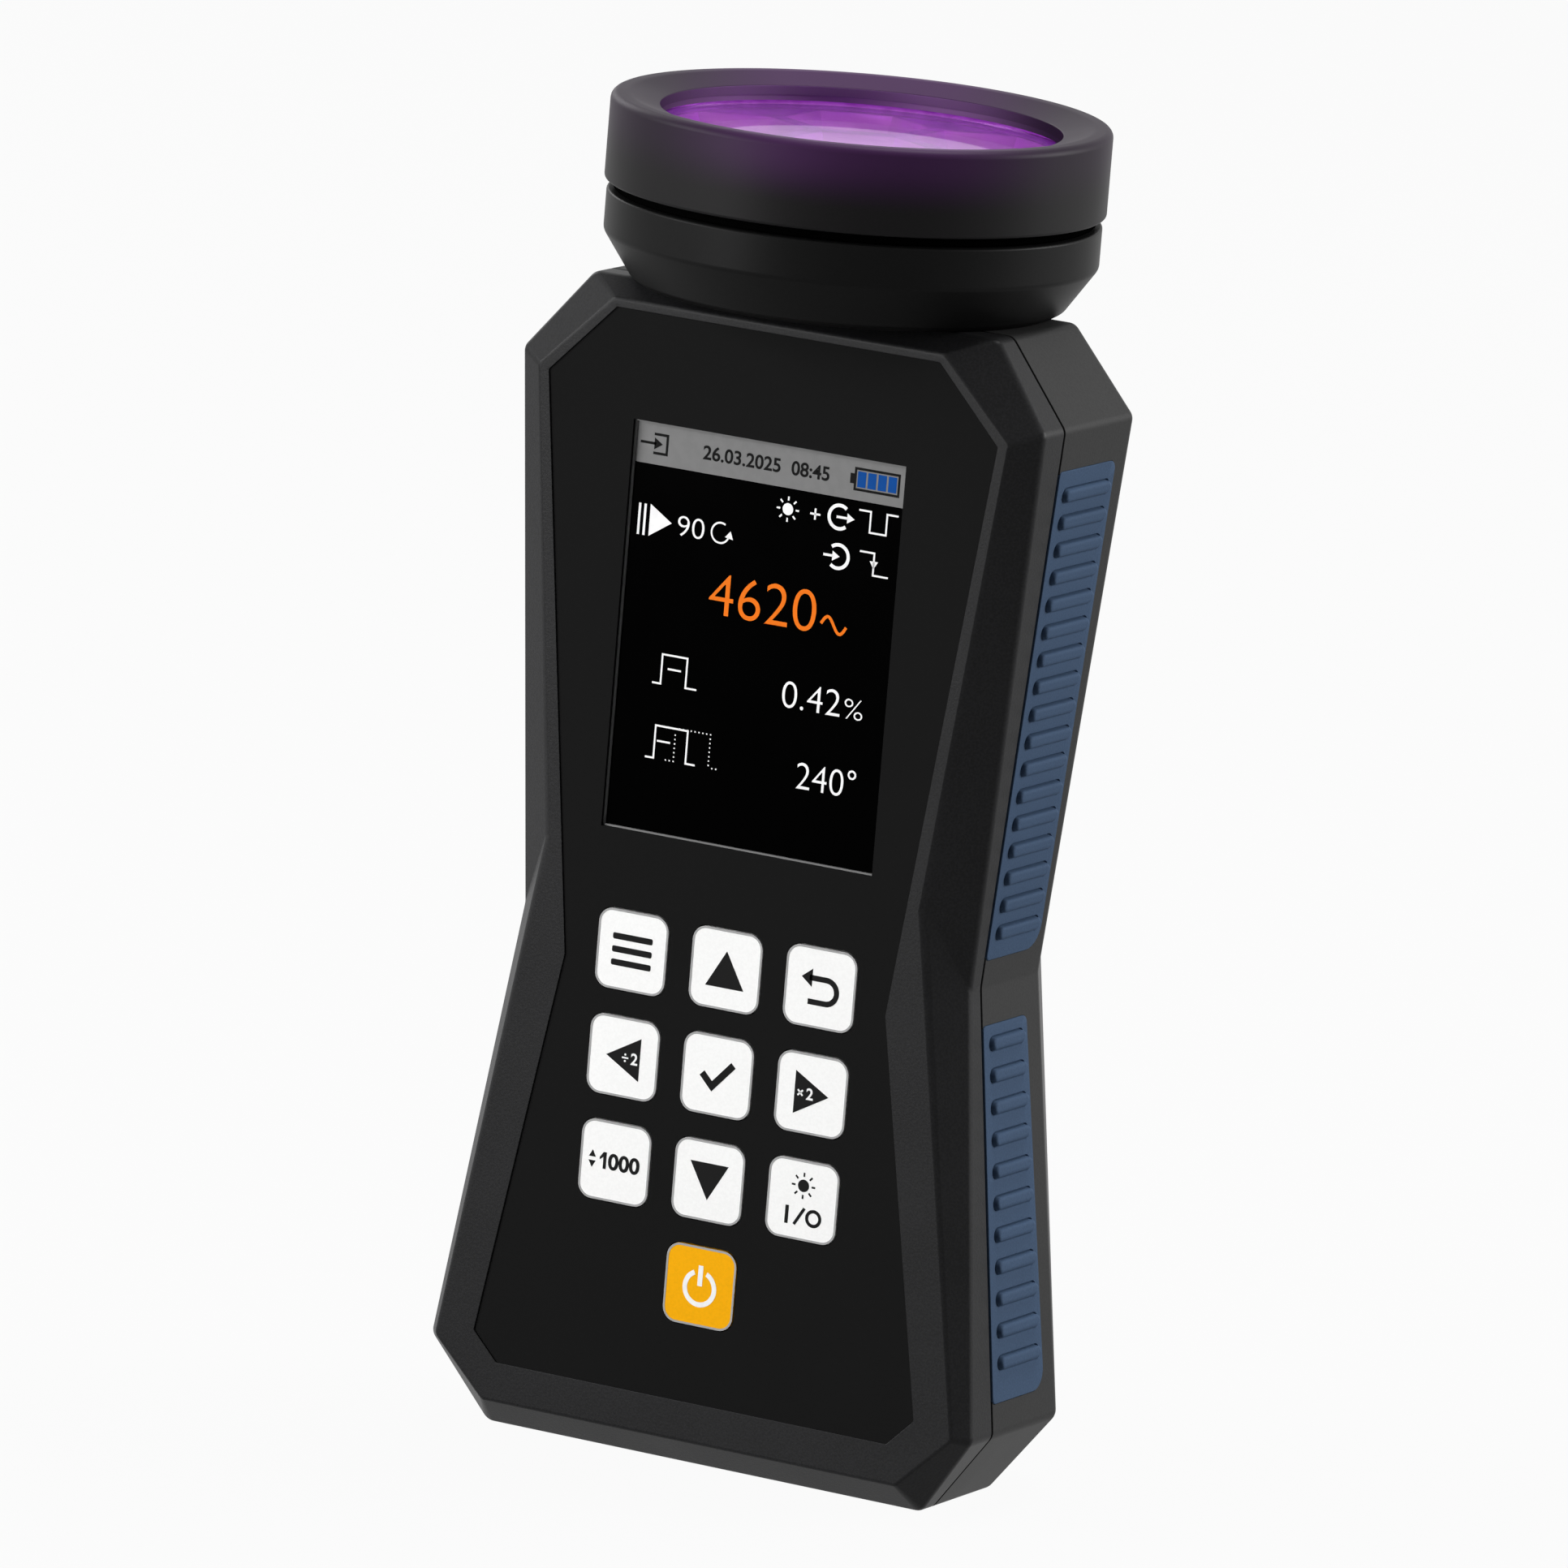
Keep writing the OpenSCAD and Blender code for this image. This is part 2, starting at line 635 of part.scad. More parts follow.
module key_menu() key_piece(-1, 0, "white");
module key_up() key_piece(0, 0, "white");
module key_back() key_piece(1, 0, "white");
module key_left() key_piece(-1, 1, "white");
module key_ok() key_piece(0, 1, "white");
module key_right() key_piece(1, 1, "white");
module key_thousand() key_piece(-1, 2, "white");
module key_down() key_piece(0, 2, "white");
module key_light() key_piece(1, 2, "white");
module key_power() key_piece(0, 3, "#f9ae13");

module keypad_mat() color("#6f7276") {
    plate(mat_d, mat_t) translate([0, key_row_z - 1.5 * key_pitch])
        rounded(2 * key_pitch + key_w + 2, 3 * key_pitch + key_h + 2, key_r);
    for (k = key_spots) translate([key_x(k[0]), dome_d - axis_d, key_z(k[1])]) rotate([-90, 0, 0])
        cylinder(dome_h + eps, key_w / 5, key_w / 3);
}

// Electronics

module main_board() color("#1f5b3a") {
    plate(board_d, board_t) difference() {
        translate([-board_w / 2, board_z]) square([board_w, board_top - board_z]);
        for (x = [-1, 1], s = board_screws_at) translate([x * s[0], s[1]]) circle(screw_r + fit);
        translate([-neck_r - wall, body_h - neck_l - wall / 2]) square([2 * (neck_r + wall), 2 * neck_l]);
    }
    plate(board_back_d - eps, chip_h) translate([0, lcd_z]) square(chip_side, center = true);
    plate(board_back_d - eps, chip_h) translate([-chip_x, lcd_z - memory_side / 2])
        square(memory_side, center = true);
    plate(board_back_d - eps, socket_h) translate([chip_x, lcd_z + socket_w])
        square([socket_w, socket_h * 2], center = true);
}

module battery_cells() color("#3d6db0") sides() translate([cell_dia / 2 + fit / 2, cell_d - axis_d, cell_z])
    cylinder(cell_h, cell_dia / 2, cell_dia / 2);

module battery_cradle() color("#242424") {
    w = 2 * cell_dia + 4 * fit + 2 * cradle_t;
    difference() {
        translate([-w / 2, cell_d - axis_d, cell_z - cradle_t - fit])
            cube([w, back_in_d - cell_d, cell_h + 2 * (cradle_t + fit)]);
        sides() translate([cell_dia / 2 + fit / 2, cell_d - axis_d, cell_z - fit])
            cylinder(cell_h + 2 * fit, cell_dia / 2 + fit, cell_dia / 2 + fit);
        sides() plate(cell_d + cell_dia / 4, body_d) translate([cell_dia / 2, cell_z + cell_h / 2])
            square([cradle_window_w, cell_h * 0.6], center = true);
    }
}

module driver_board() color("#1f5b3a") {
    plate(driver_d, board_t) difference() {
        translate([-driver_w / 2, driver_z]) square([driver_w, driver_h]);
        for (x = [-1, 1], s = driver_screws_at) translate([x * s[0], s[1]]) circle(screw_r + fit);
    }
    plate(driver_d - coil_h, coil_h + eps) translate([0, driver_z + driver_h / 2]) difference() {
        square(coil_side, center = true);
        for (a = [0:90:270]) rotate(a) translate([coil_side / 2, coil_side / 2]) rotate(45)
            square(coil_side / 4, center = true);
    }
    sides() rod(cap_x, driver_z + driver_h / 2, driver_d - cap_h, driver_d + eps, cap_r);
}

module jack(side) color("#191919") translate([side * jack_x, jack_d - axis_d, 0]) difference() {
    union() {
        translate([-jack_side / 2, -jack_side / 2, floor_z]) cube([jack_side, jack_side, jack_side + 3]);
        translate([0, 0, fit]) cylinder(floor_z + 1, jack_collar_r, jack_collar_r);
    }
    translate([0, 0, -1]) cylinder(jack_bore_l + fit + 1, jack_bore_r, jack_bore_r);
}

module trigger_in_jack() jack(-1);
module trigger_out_jack() jack(1);

module usb_mouth(gap, z, l) translate([0, usb_d - axis_d, z]) linear_extrude(l)
    rounded(usb_w + 2 * gap, usb_h + 2 * gap, usb_h / 2 + gap - eps);

module charging_socket() color("#b9bcc0") {
    difference() {
        usb_mouth(0, fit, usb_l);
        usb_mouth(-0.35, 0, usb_l - 1);
    }
    translate([-usb_w / 2 + 1.6, usb_d - axis_d - 0.35, 1.5]) cube([usb_w - 3.2, 0.7, usb_l - 1.8]);
}

module tripod_insert() color("#b08d57") difference() {
    rod(0, tripod_z, body_d - tripod_l, body_d - fit, insert_r - slip);
    rod(0, tripod_z, body_d - tripod_l - 1, body_d + 1, tripod_r);
}

// Grips

// Stands a drawing of depth and height on the right side wall above a point of the outline
module on_wall(point, tilt) translate([point[0], -axis_d, point[1]]) rotate([0, tilt, 0])
    rotate([90, 0, 90]) children();

module grip_up_place() on_wall(side_line[2], tilt_up) children();
module grip_low_place() on_wall(side_line[2], -tilt_low) children();

grip_front_d = parting_d + grip_lead;
grip_up_back = [rear_waist_d + 0.6 - grip_margin, rear_shoulder_d - 1.6 - grip_margin];
grip_low_back = [rear_waist_d - 2.2 - grip_margin, rear_foot_d - 1.8 - grip_margin];
// Cuts at the grips' rear corners, the one nearer to the waist first
grip_up_cuts = [4, 1.6];
grip_low_cuts = [1.2, 3.4];

// Grip outline with cut rear corners: g grows it all round
module grip_outline(z1, z2, back1, back2, cut1, cut2, g) polygon([
    [grip_front_d - g, z1 - g], [back1 - cut1 + g, z1 - g], [back1 + g, z1 + cut1 - g],
    [back2 + g, z2 - cut2 + g], [back2 - cut2 + g, z2 + g], [grip_front_d - g, z2 + g]]);

module grip_up_outline(g = 0) grip_outline(grip_up_gap, grip_up_gap + grip_up_l,
    grip_up_back[0], grip_up_back[1], grip_up_cuts[0], grip_up_cuts[1], g);
module grip_low_outline(g = 0) grip_outline(-grip_low_gap - grip_low_l, -grip_low_gap,
    grip_low_back[1], grip_low_back[0], grip_low_cuts[1], grip_low_cuts[0], g);

// A raised bar with a round front end
module rib(d1, d2, z) translate([d1, z, grip_proud - eps]) linear_extrude(rib_h + eps) {
    translate([rib_w / 2, -rib_w / 2]) square([d2 - d1 - rib_w / 2, rib_w]);
    translate([rib_w / 2, 0]) circle(rib_w / 2, $fn = 24);
}

module grip_upper_right() color("#3f4d63") grip_up_place() {
    translate([0, 0, -grip_t]) linear_extrude(grip_t + grip_proud) grip_up_outline();
    for (i = [0:rib_up_n - 1]) let (z = grip_up_gap + grip_up_l - rib_up_lead - i * rib_up_pitch,
        back = grip_up_back[1] - (grip_up_back[1] - grip_up_back[0]) * i / rib_up_n)
        rib(grip_front_d + rib_start, back - 1.6, z);
}

module grip_lower_right() color("#3f4d63") grip_low_place() {
    translate([0, 0, -grip_t]) linear_extrude(grip_t + grip_proud) grip_low_outline();
    for (i = [0:rib_low_n - 1]) let (z = -grip_low_gap - rib_low_lead - i * rib_low_pitch,
        back = grip_low_back[0] + (grip_low_back[1] - grip_low_back[0]) * i / rib_low_n)
        rib(grip_front_d + rib_start, back - 1.4, z);
}

module grip_upper_left() mirror([1, 0, 0]) grip_upper_right();
module grip_lower_left() mirror([1, 0, 0]) grip_lower_right();

// Lamp head

module lamp_housing() color("#232323") difference() {
    rotate_extrude() polygon([
        [neck_r - neck_wall, body_h - neck_l], [neck_r, body_h - neck_l], [neck_r, body_h],
        [bowl_r - 1, body_h], [bowl_r, body_h + 0.6],
        [(bowl_r + head_r) / 2 + 0.5, body_h + bowl_h / 2], [head_r, ring_z],
        [head_r, groove_z - 0.4], [head_r - 0.4, groove_z], [ring_in_r, groove_z],
        [ring_in_r, ring_z + 1], [sink_r + fit, sink_z + 1],
        [sink_r + fit, sink_z], [neck_r - neck_wall, sink_z]]);
    sides() for (y = [-1, 1]) translate([lamp_screw_x, y * lamp_screw_y, body_h - 1])
        cylinder(bowl_floor, screw_r, screw_r);
}

module lamp_bezel() color("#1a1a1a") rotate_extrude() polygon([
    [sink_r + fit, ring_z + 1 + fit], [ring_in_r - fit, ring_z + 1 + fit],
    [ring_in_r - fit, groove_z], [bezel_r - 0.6, groove_z], [bezel_r - 0.6, bumper_z],
    [bezel_r, bumper_z], [bezel_r, bezel_top], [lip_r + fit, bezel_top],
    [lip_r + fit, glass_z], [glass_r + fit, glass_z], [glass_r + fit, cup_top],
    [sink_r + fit, cup_top - 1]]);

// Round shoulder, then a rim that slopes down to the opening's sharp edge
module lamp_bumper() color("#2b2a2b") rotate_extrude() let (steps = 12, turn = 90 + rim_slope,
    shoulder = [for (k = [0:steps]) [bumper_r - rim_r, head_top - rim_r]
        + rim_r * [cos(k * turn / steps), sin(k * turn / steps)]], crest = shoulder[steps])
    polygon(concat([[bezel_r, bumper_z], [bumper_r - 0.4, bumper_z], [bumper_r, bumper_z + 0.4]], shoulder,
        [[lip_r, crest[1] - (crest[0] - lip_r) * tan(rim_slope)], [lip_r, bezel_top], [bezel_r, bezel_top]]));

module lamp_seal() color("#0c0c0c") rotate_extrude()
    translate([bezel_r - 0.6 + seal_w / 2, groove_z + groove_h / 2]) {
        straight = groove_h - seal_w - slip;
        square([seal_w, straight], center = true);
        for (side = [-1, 1]) translate([0, side * straight / 2]) circle(seal_w / 2, $fn = 24);
    }

module front_glass() color("#a878c8") translate([0, 0, cup_top]) cylinder(glass_t, glass_r, glass_r);

// Places of the lamps, the first in the middle
lamp_ring_r = sink_r - cup_r - 0.4;
lamp_spots = concat([[0, 0]], [for (i = [0:ring_lamps - 1])
    let (a = i * 360 / ring_lamps) [lamp_ring_r * cos(a), lamp_ring_r * sin(a)]]);

// Bowl-shaped cups, steeper towards the mouth
module reflector_array() color("#c9c9cf") difference() {
    translate([0, 0, cup_z]) cylinder(cup_top - cup_z, sink_r, sink_r);
    for (p = lamp_spots) translate([p[0], p[1], cup_z]) rotate_extrude() polygon(concat(
        [[0, -1], [cup_foot_r, -1]],
        [for (k = [0:5]) [cup_foot_r + (cup_r - cup_foot_r) * pow(k / 5, 0.62), (cup_top - cup_z) * k / 5]],
        [[cup_r, cup_top - cup_z + 1], [0, cup_top - cup_z + 1]]));
}

module leds() color("#f4f0c8") for (p = lamp_spots) translate([p[0], p[1], cup_z]) {
    translate([-led_side / 2, -led_side / 2, 0]) cube([led_side, led_side, led_base_h]);
    intersection() {
        translate([0, 0, led_base_h - eps]) sphere(led_side / 2 - 0.2, $fn = 32);
        translate([-led_side, -led_side, led_base_h - eps]) cube(2 * led_side);
    }
}

module led_board() color("#e8e8e4") translate([0, 0, led_board_z]) cylinder(board_t, sink_r, sink_r);

module heat_sink() color("#a9acb0") translate([0, 0, sink_z]) {
    cylinder(sink_h, sink_r * 0.7, sink_r * 0.7);
    translate([0, 0, sink_h - 1.6]) cylinder(1.6, sink_r, sink_r);
    linear_extrude(sink_h - 0.8) for (i = [0:fins - 1]) rotate(i * 360 / fins)
        translate([sink_r * 0.68, -fin_t / 2]) square([sink_r * 0.31, fin_t]);
}

// Fasteners

module screw(r, head_r, head_t, l) {
    translate([0, 0, -l]) cylinder(l + eps, r, r);
    difference() {
        cylinder(head_t, head_r, head_r);
        translate([0, 0, head_t / 2]) for (a = [0, 90]) rotate([0, 0, a])
            translate([-head_r * 0.6, -0.3, 0]) cube([head_r * 1.2, 0.6, head_t]);
    }
}

module housing_screws() color("#55575a") sides() for (s = house_screws_at)
    translate([s[0], body_d - house_sunk - axis_d, s[1]]) rotate([-90, 0, 0])
        screw(house_screw_r - slip, house_head_r, house_head_h, body_d - house_sunk - cavity_d - 1.5);

module board_screws() color("#8c8f93") {
    sides() for (s = board_screws_at) translate([s[0], board_back_d - axis_d, s[1]])
        rotate([-90, 0, 0]) screw(screw_r - slip, boss_r - 0.4, board_head_h, board_t + 3.5);
    sides() for (s = driver_screws_at) translate([s[0], driver_d - axis_d, s[1]])
        rotate([90, 0, 0]) screw(screw_r - slip, boss_r - 0.4, board_head_h, board_t + 4);
}

module lamp_screws() color("#8c8f93") sides() for (y = [-1, 1])
    translate([lamp_screw_x, y * lamp_screw_y, body_h - wall]) rotate([180, 0, 0])
        screw(screw_r - slip, boss_r - 0.4, board_head_h, wall + bowl_floor - 1.6);

front_housing();
rear_housing();
front_panel();
display_window();
lcd_module();
display_frame();
key_menu();
key_up();
key_back();
key_left();
key_ok();
key_right();
key_thousand();
key_down();
key_light();
key_power();
keypad_mat();
main_board();
battery_cells();
battery_cradle();
driver_board();
trigger_in_jack();
trigger_out_jack();
charging_socket();
tripod_insert();
grip_upper_left();
grip_upper_right();
grip_lower_left();
grip_lower_right();
lamp_housing();
lamp_bezel();
lamp_bumper();
lamp_seal();
front_glass();
reflector_array();
leds();
led_board();
heat_sink();
housing_screws();
board_screws();
lamp_screws();
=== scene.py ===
# Looks of the handheld stroboscope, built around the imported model.
# Lengths are in millimetres until a piece is made: x right, y into the depth, z up.
from math import atan2, cos, pi, radians, sin, tan

import bmesh
import bpy
from mathutils import Matrix, Vector
from mathutils.geometry import delaunay_2d_cdt


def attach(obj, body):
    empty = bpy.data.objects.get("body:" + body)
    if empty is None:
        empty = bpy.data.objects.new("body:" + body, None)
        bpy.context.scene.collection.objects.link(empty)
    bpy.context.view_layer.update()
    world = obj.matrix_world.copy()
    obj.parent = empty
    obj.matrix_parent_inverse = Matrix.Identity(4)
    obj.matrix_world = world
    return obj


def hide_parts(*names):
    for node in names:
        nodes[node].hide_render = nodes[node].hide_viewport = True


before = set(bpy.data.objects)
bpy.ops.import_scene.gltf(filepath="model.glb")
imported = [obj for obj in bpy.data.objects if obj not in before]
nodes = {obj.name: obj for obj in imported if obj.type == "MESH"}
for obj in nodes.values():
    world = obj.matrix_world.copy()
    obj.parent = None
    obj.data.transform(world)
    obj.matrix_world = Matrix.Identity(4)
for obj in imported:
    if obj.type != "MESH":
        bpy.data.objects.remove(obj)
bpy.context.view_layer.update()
collection = bpy.context.scene.collection
mm = 0.001
print("frame loaded with", len(nodes), "nodes")


class Link:  # an output of a shader node that can be used in sums
    def __init__(self, graph, socket):
        self.graph = graph
        self.socket = socket

    def __getitem__(self, name):
        return Link(self.graph, self.socket.node.outputs[name])

    def __add__(self, other):
        return self.graph.maths("ADD", self, other)

    def __radd__(self, other):
        return self.graph.maths("ADD", other, self)

    def __sub__(self, other):
        return self.graph.maths("SUBTRACT", self, other)

    def __rsub__(self, other):
        return self.graph.maths("SUBTRACT", other, self)

    def __mul__(self, other):
        return self.graph.maths("MULTIPLY", self, other)

    def __rmul__(self, other):
        return self.graph.maths("MULTIPLY", other, self)

    def __pow__(self, other):
        return self.graph.maths("POWER", self, other)

    def __rpow__(self, other):
        return self.graph.maths("POWER", other, self)


class Graph:  # the node tree of one material or of the world
    def __init__(self, tree):
        self.tree = tree
        tree.nodes.clear()

    def node(self, kind, settings=None, sockets=None):
        made = self.tree.nodes.new("ShaderNode" + kind)
        for name, value in (settings or {}).items():
            setattr(made, name, value)
        for name, value in (sockets or {}).items():
            if isinstance(value, Link):
                self.tree.links.new(value.socket, made.inputs[name])
            else:
                made.inputs[name].default_value = value
        return Link(self, made.outputs[0]) if made.outputs else None

    def maths(self, operation, first, second=0):
        return self.node("Math", {"operation": operation}, {0: first, 1: second})

    def blend(self, share, first, second):  # 6, 7 and 2 are the colour sockets of a Mix node
        ends = {0: share, 6: first if isinstance(first, Link) else (*first, 1),
                7: second if isinstance(second, Link) else (*second, 1)}
        made = self.node("Mix", {"data_type": "RGBA"}, ends)
        return Link(self, made.socket.node.outputs[2])

    def place(self):
        return self.node("TexCoord")["Object"]

    def noise(self, scale, detail=2):
        return self.node("TexNoise", {}, {"Vector": self.place(), "Scale": scale, "Detail": detail})

    def ramp(self, value, low, high):
        return self.node("MapRange", {"interpolation_type": "SMOOTHSTEP"},
                         {"Value": value, "From Min": low, "From Max": high})


def srgb(code):  # linear colour of a hex code
    parts = [int(code[i:i + 2], 16) / 255 for i in (0, 2, 4)]
    return tuple(p / 12.92 if p < 0.04045 else ((p + 0.055) / 1.055) ** 2.4 for p in parts)


def newGraph(name):
    material = bpy.data.materials.new(name)
    material.use_nodes = True
    return material, Graph(material.node_tree)


def finishWith(graph, sockets):
    shader = graph.node("BsdfPrincipled", {}, sockets)
    graph.node("OutputMaterial", {}, {"Surface": shader})


# What a moulded finish has where its own look says nothing; scales per metre, bump depth in mm. The last
# keys place a painted glow of lamp light on the colour.
usualLook = {"grain": 3000, "patch": 60, "fineShare": 0.75, "spread": (0.36, 0.64), "vary": 0.2,
             "roughVary": 0.1, "bump": 0.2, "depth": 0.05, "metal": 0.0, "specular": 0.3, "coat": 0.0,
             "sheen": 0.0, "tintAcross": (0.88, 0.48), "tintFade": (34, 10), "tintShift": 0,
             "tintEnds": 0.15}


def moulded(name, own):  # plastic, rubber or metal with grain and slight unevenness
    look = {**usualLook, **own}
    material, graph = newGraph(name)
    fine = graph.noise(look["grain"], 3)
    broad = graph.noise(look["patch"])
    dark = tuple(c * (1 - look["vary"]) for c in srgb(look["colour"]))
    light = tuple(min(1, c * (1 + look["vary"])) for c in srgb(look["colour"]))
    mottle = fine * look["fineShare"] + broad * (1 - look["fineShare"])
    colour = graph.blend(graph.ramp(mottle, *look["spread"]), dark, light)
    if "tint" in look:  # painted light from the lamp on the material, strongest in the middle of its width
        spot = graph.node("SeparateXYZ", {}, {0: graph.place()})
        alongX, alongY = look["tintAcross"]
        across = spot["X"] * alongX + spot["Y"] * alongY + look["tintShift"] * mm
        fade = graph.ramp(graph.maths("ABSOLUTE", across), *[edge * mm for edge in look["tintFade"]])
        share = look["tintEnds"] + fade * (1 - look["tintEnds"])
        rise = graph.ramp(spot["Z"], look["tintFrom"] * mm, look["tintTo"] * mm)
        colour = graph.blend(rise * share, colour, srgb(look["tint"]))
    rough = look["rough"] + (broad - 0.5) * look["roughVary"]
    depth = look["depth"] * mm
    bump = graph.node("Bump", {}, {"Strength": look["bump"], "Distance": depth, "Height": fine})
    finishWith(graph, {"Base Color": colour, "Roughness": rough, "Normal": bump,
                       "Metallic": look["metal"], "Specular IOR Level": look["specular"],
                       "Coat Weight": look["coat"], "Sheen Weight": look["sheen"]})
    return material


printLook = {"grain": 700, "dark": 0.94, "spread": (0.3, 0.7), "rough": 0.5, "roughVary": 0.1,
             "specular": 0.05}


def printed(name, colour, glow):  # ink, paint or lit screen points, with a faint unevenness
    material, graph = newGraph(name)
    broad = graph.noise(printLook["grain"])
    dark = tuple(c * printLook["dark"] for c in colour)
    shade = graph.blend(graph.ramp(broad, *printLook["spread"]), dark, colour)
    rough = printLook["rough"] + (broad - 0.5) * printLook["roughVary"]
    sockets = {"Base Color": shade, "Roughness": rough, "Specular IOR Level": printLook["specular"]}
    if glow:
        sockets["Emission Color"] = shade
        sockets["Emission Strength"] = glow
    finishWith(graph, sockets)
    return material


looks = {
    "frontShell": {"colour": "1a1a1b", "grain": 2600, "rough": 0.4, "bump": 0.4, "vary": 0.25,
                   "specular": 0.09},
    "rearShell": {"colour": "282828", "grain": 2600, "rough": 0.44, "vary": 0.12, "specular": 0.07},
    "panelFilm": {"colour": "181818", "grain": 5000, "rough": 0.5, "bump": 0.04, "vary": 0.04,
                  "specular": 0.008},
    "gripRubber": {"colour": "3c4d64", "grain": 3200, "rough": 0.7, "vary": 0.08, "specular": 0.05},
    "bowlPlastic": {"colour": "0e0e0e", "rough": 0.42, "bump": 0.1, "vary": 0.1, "specular": 0.055},
    # The top of the bumper gets painted violet light from the lamp
    "bumperRubber": {"colour": "0f0e0f", "rough": 0.48, "bump": 0.1, "vary": 0.1, "specular": 0.085,
                     "tint": "3b2044", "tintFrom": 205.5, "tintTo": 214},
    # The wall inside the bumper is the black rubber, coloured dark violet with painted lamp light,
    # lightest in its middle
    "rimWallWithPaintedGlow": {"colour": "180f1c", "rough": 0.6, "bump": 0.1, "vary": 0.08, "specular": 0.0,
                "tint": "785884", "tintFrom": 200, "tintTo": 205, "tintShift": 3, "tintEnds": 0.04},
    # The bezel's dark violet, lightest in its middle, is painted lamp light
    "bezelWithPaintedGlow": {"colour": "1b1122", "rough": 0.5, "bump": 0.1, "specular": 0.0, "tint": "946ca0",
                     "tintFrom": 200, "tintTo": 205, "tintShift": 3, "tintEnds": 0.04},
    # The seal is black rubber, darkened further as painted shade of the groove it lies in
    "sealRubberAndShade": {"colour": "030303", "rough": 0.8, "bump": 0.1, "specular": 0.0},
    "keyWhite": {"colour": "f6f6f5", "grain": 2500, "rough": 0.42, "bump": 0.05, "vary": 0.02,
                 "specular": 0.15},
    "keyAmber": {"colour": "f4ac04", "grain": 2500, "rough": 0.42, "bump": 0.05, "vary": 0.03,
                 "specular": 0.04},
    "screenBlack": {"colour": "000000", "grain": 2500, "rough": 0.15, "bump": 0.01, "specular": 0.008},
    "moduleMetal": {"colour": "8a8f94", "grain": 900, "rough": 0.4, "metal": 1.0},
    "blackMoulding": {"colour": "1a1a1a", "grain": 2500, "rough": 0.55},
    "matSilicone": {"colour": "75787c", "grain": 2500, "rough": 0.6, "sheen": 0.1},
    "boardGreen": {"colour": "1f5b3a", "grain": 600, "rough": 0.35, "vary": 0.25, "coat": 0.2},
    "cellSleeve": {"colour": "3d6db0", "grain": 500, "rough": 0.3, "coat": 0.3},
    "jackPlastic": {"colour": "181818", "grain": 2500, "rough": 0.45},
    "plated": {"colour": "b9bcc0", "grain": 4000, "rough": 0.3, "metal": 1.0, "bump": 0.08,
               "vary": 0.06},
    "brass": {"colour": "b9934f", "grain": 3500, "rough": 0.3, "metal": 1.0, "bump": 0.1, "vary": 0.06},
    "screwSteel": {"colour": "6c6f73", "grain": 3500, "rough": 0.35, "metal": 1.0, "bump": 0.1,
                   "vary": 0.08},
    "whiteMask": {"colour": "e8e8e4", "grain": 900, "rough": 0.4},
    "finMetal": {"colour": "a9acb0", "grain": 700, "rough": 0.35, "metal": 1.0},
}
finish = {name: moulded(name, look) for name, look in looks.items()}
# Prints, the grey band along the keys' edges, and lit screen points: colour and strength of their own
# light
inks = {"inkBlack": ("121212", 0), "inkWhite": ("f6f6f6", 0), "inkGrey": ("a4a4a4", 0),
        "screenWhite": ("f2f2f2", 0.1), "screenOrange": ("e67114", 0.15), "screenGrey": ("7c7c7c", 0),
        "screenInk": ("040404", 0), "screenBlue": ("04448c", 0.1), "edgeGrey": ("7f7f7f", 0)}
for name, (code, glow) in inks.items():
    finish[name] = printed(name, srgb(code), glow)

glassLook = {"patch": 90, "spread": (0.35, 0.65), "dark": "dab0e2", "light": "ecc8f0", "rim": "aa70c0",
             "rimFrom": 29, "rimTo": 32, "rough": 0.02, "ior": 1.09, "clear": 0.96}


def violetGlass():  # clear violet, deeper towards its rim
    look = glassLook
    material, graph = newGraph("violetGlass")
    spot = graph.node("SeparateXYZ", {}, {0: graph.place()})
    radius = (spot["X"] * spot["X"] + spot["Y"] * spot["Y"]) ** 0.5
    patches = graph.ramp(graph.noise(look["patch"]), *look["spread"])
    colour = graph.blend(patches, srgb(look["dark"]), srgb(look["light"]))
    rim = graph.ramp(radius, look["rimFrom"] * mm, look["rimTo"] * mm)
    colour = graph.blend(rim, colour, srgb(look["rim"]))
    finishWith(graph, {"Base Color": colour, "Roughness": look["rough"], "IOR": look["ior"],
                       "Transmission Weight": look["clear"]})
    return material


cupLook = {"patch": 160, "spread": (0.3, 0.7), "foot": "5a1c78", "mouth": "8e4e9c", "rise": (199, 206),
           "edge": "5a1a74", "edgeRise": (209.4, 209.65), "ripple": "8c34a6", "rippleShare": 0.5,
           "rough": 0.25, "metal": 0.6, "glow": 0.95}


def litCup():  # mirror of the lamp cups, with the lamps' violet light painted on as their own glow, lighter towards the mouth and darker on the edges between them
    look = cupLook
    material, graph = newGraph("litCup")
    height = graph.node("SeparateXYZ", {}, {0: graph.place()})["Z"]
    rise = graph.ramp(height, *[z * mm for z in look["rise"]])
    edge = graph.ramp(height, *[z * mm for z in look["edgeRise"]])
    ripple = graph.ramp(graph.noise(look["patch"], 3), *look["spread"]) * look["rippleShare"]
    colour = graph.blend(rise, srgb(look["foot"]), srgb(look["mouth"]))
    colour = graph.blend(edge, colour, srgb(look["edge"]))
    shade = graph.blend(ripple, colour, srgb(look["ripple"]))
    finishWith(graph, {"Base Color": shade, "Roughness": look["rough"], "Metallic": look["metal"],
                       "Emission Color": shade, "Emission Strength": look["glow"]})
    return material


glowLook = {"patch": 500, "spread": (0.3, 0.7), "rough": 0.2}
# The diodes, and the edge of the glass with the lamps' light painted on as a glow: two tones and the
# strength of their light
glows = {"litLamp": ("d8a4f4", "f3e2ff", 1.6), "litEdge": ("833797", "974dab", 1.0)}


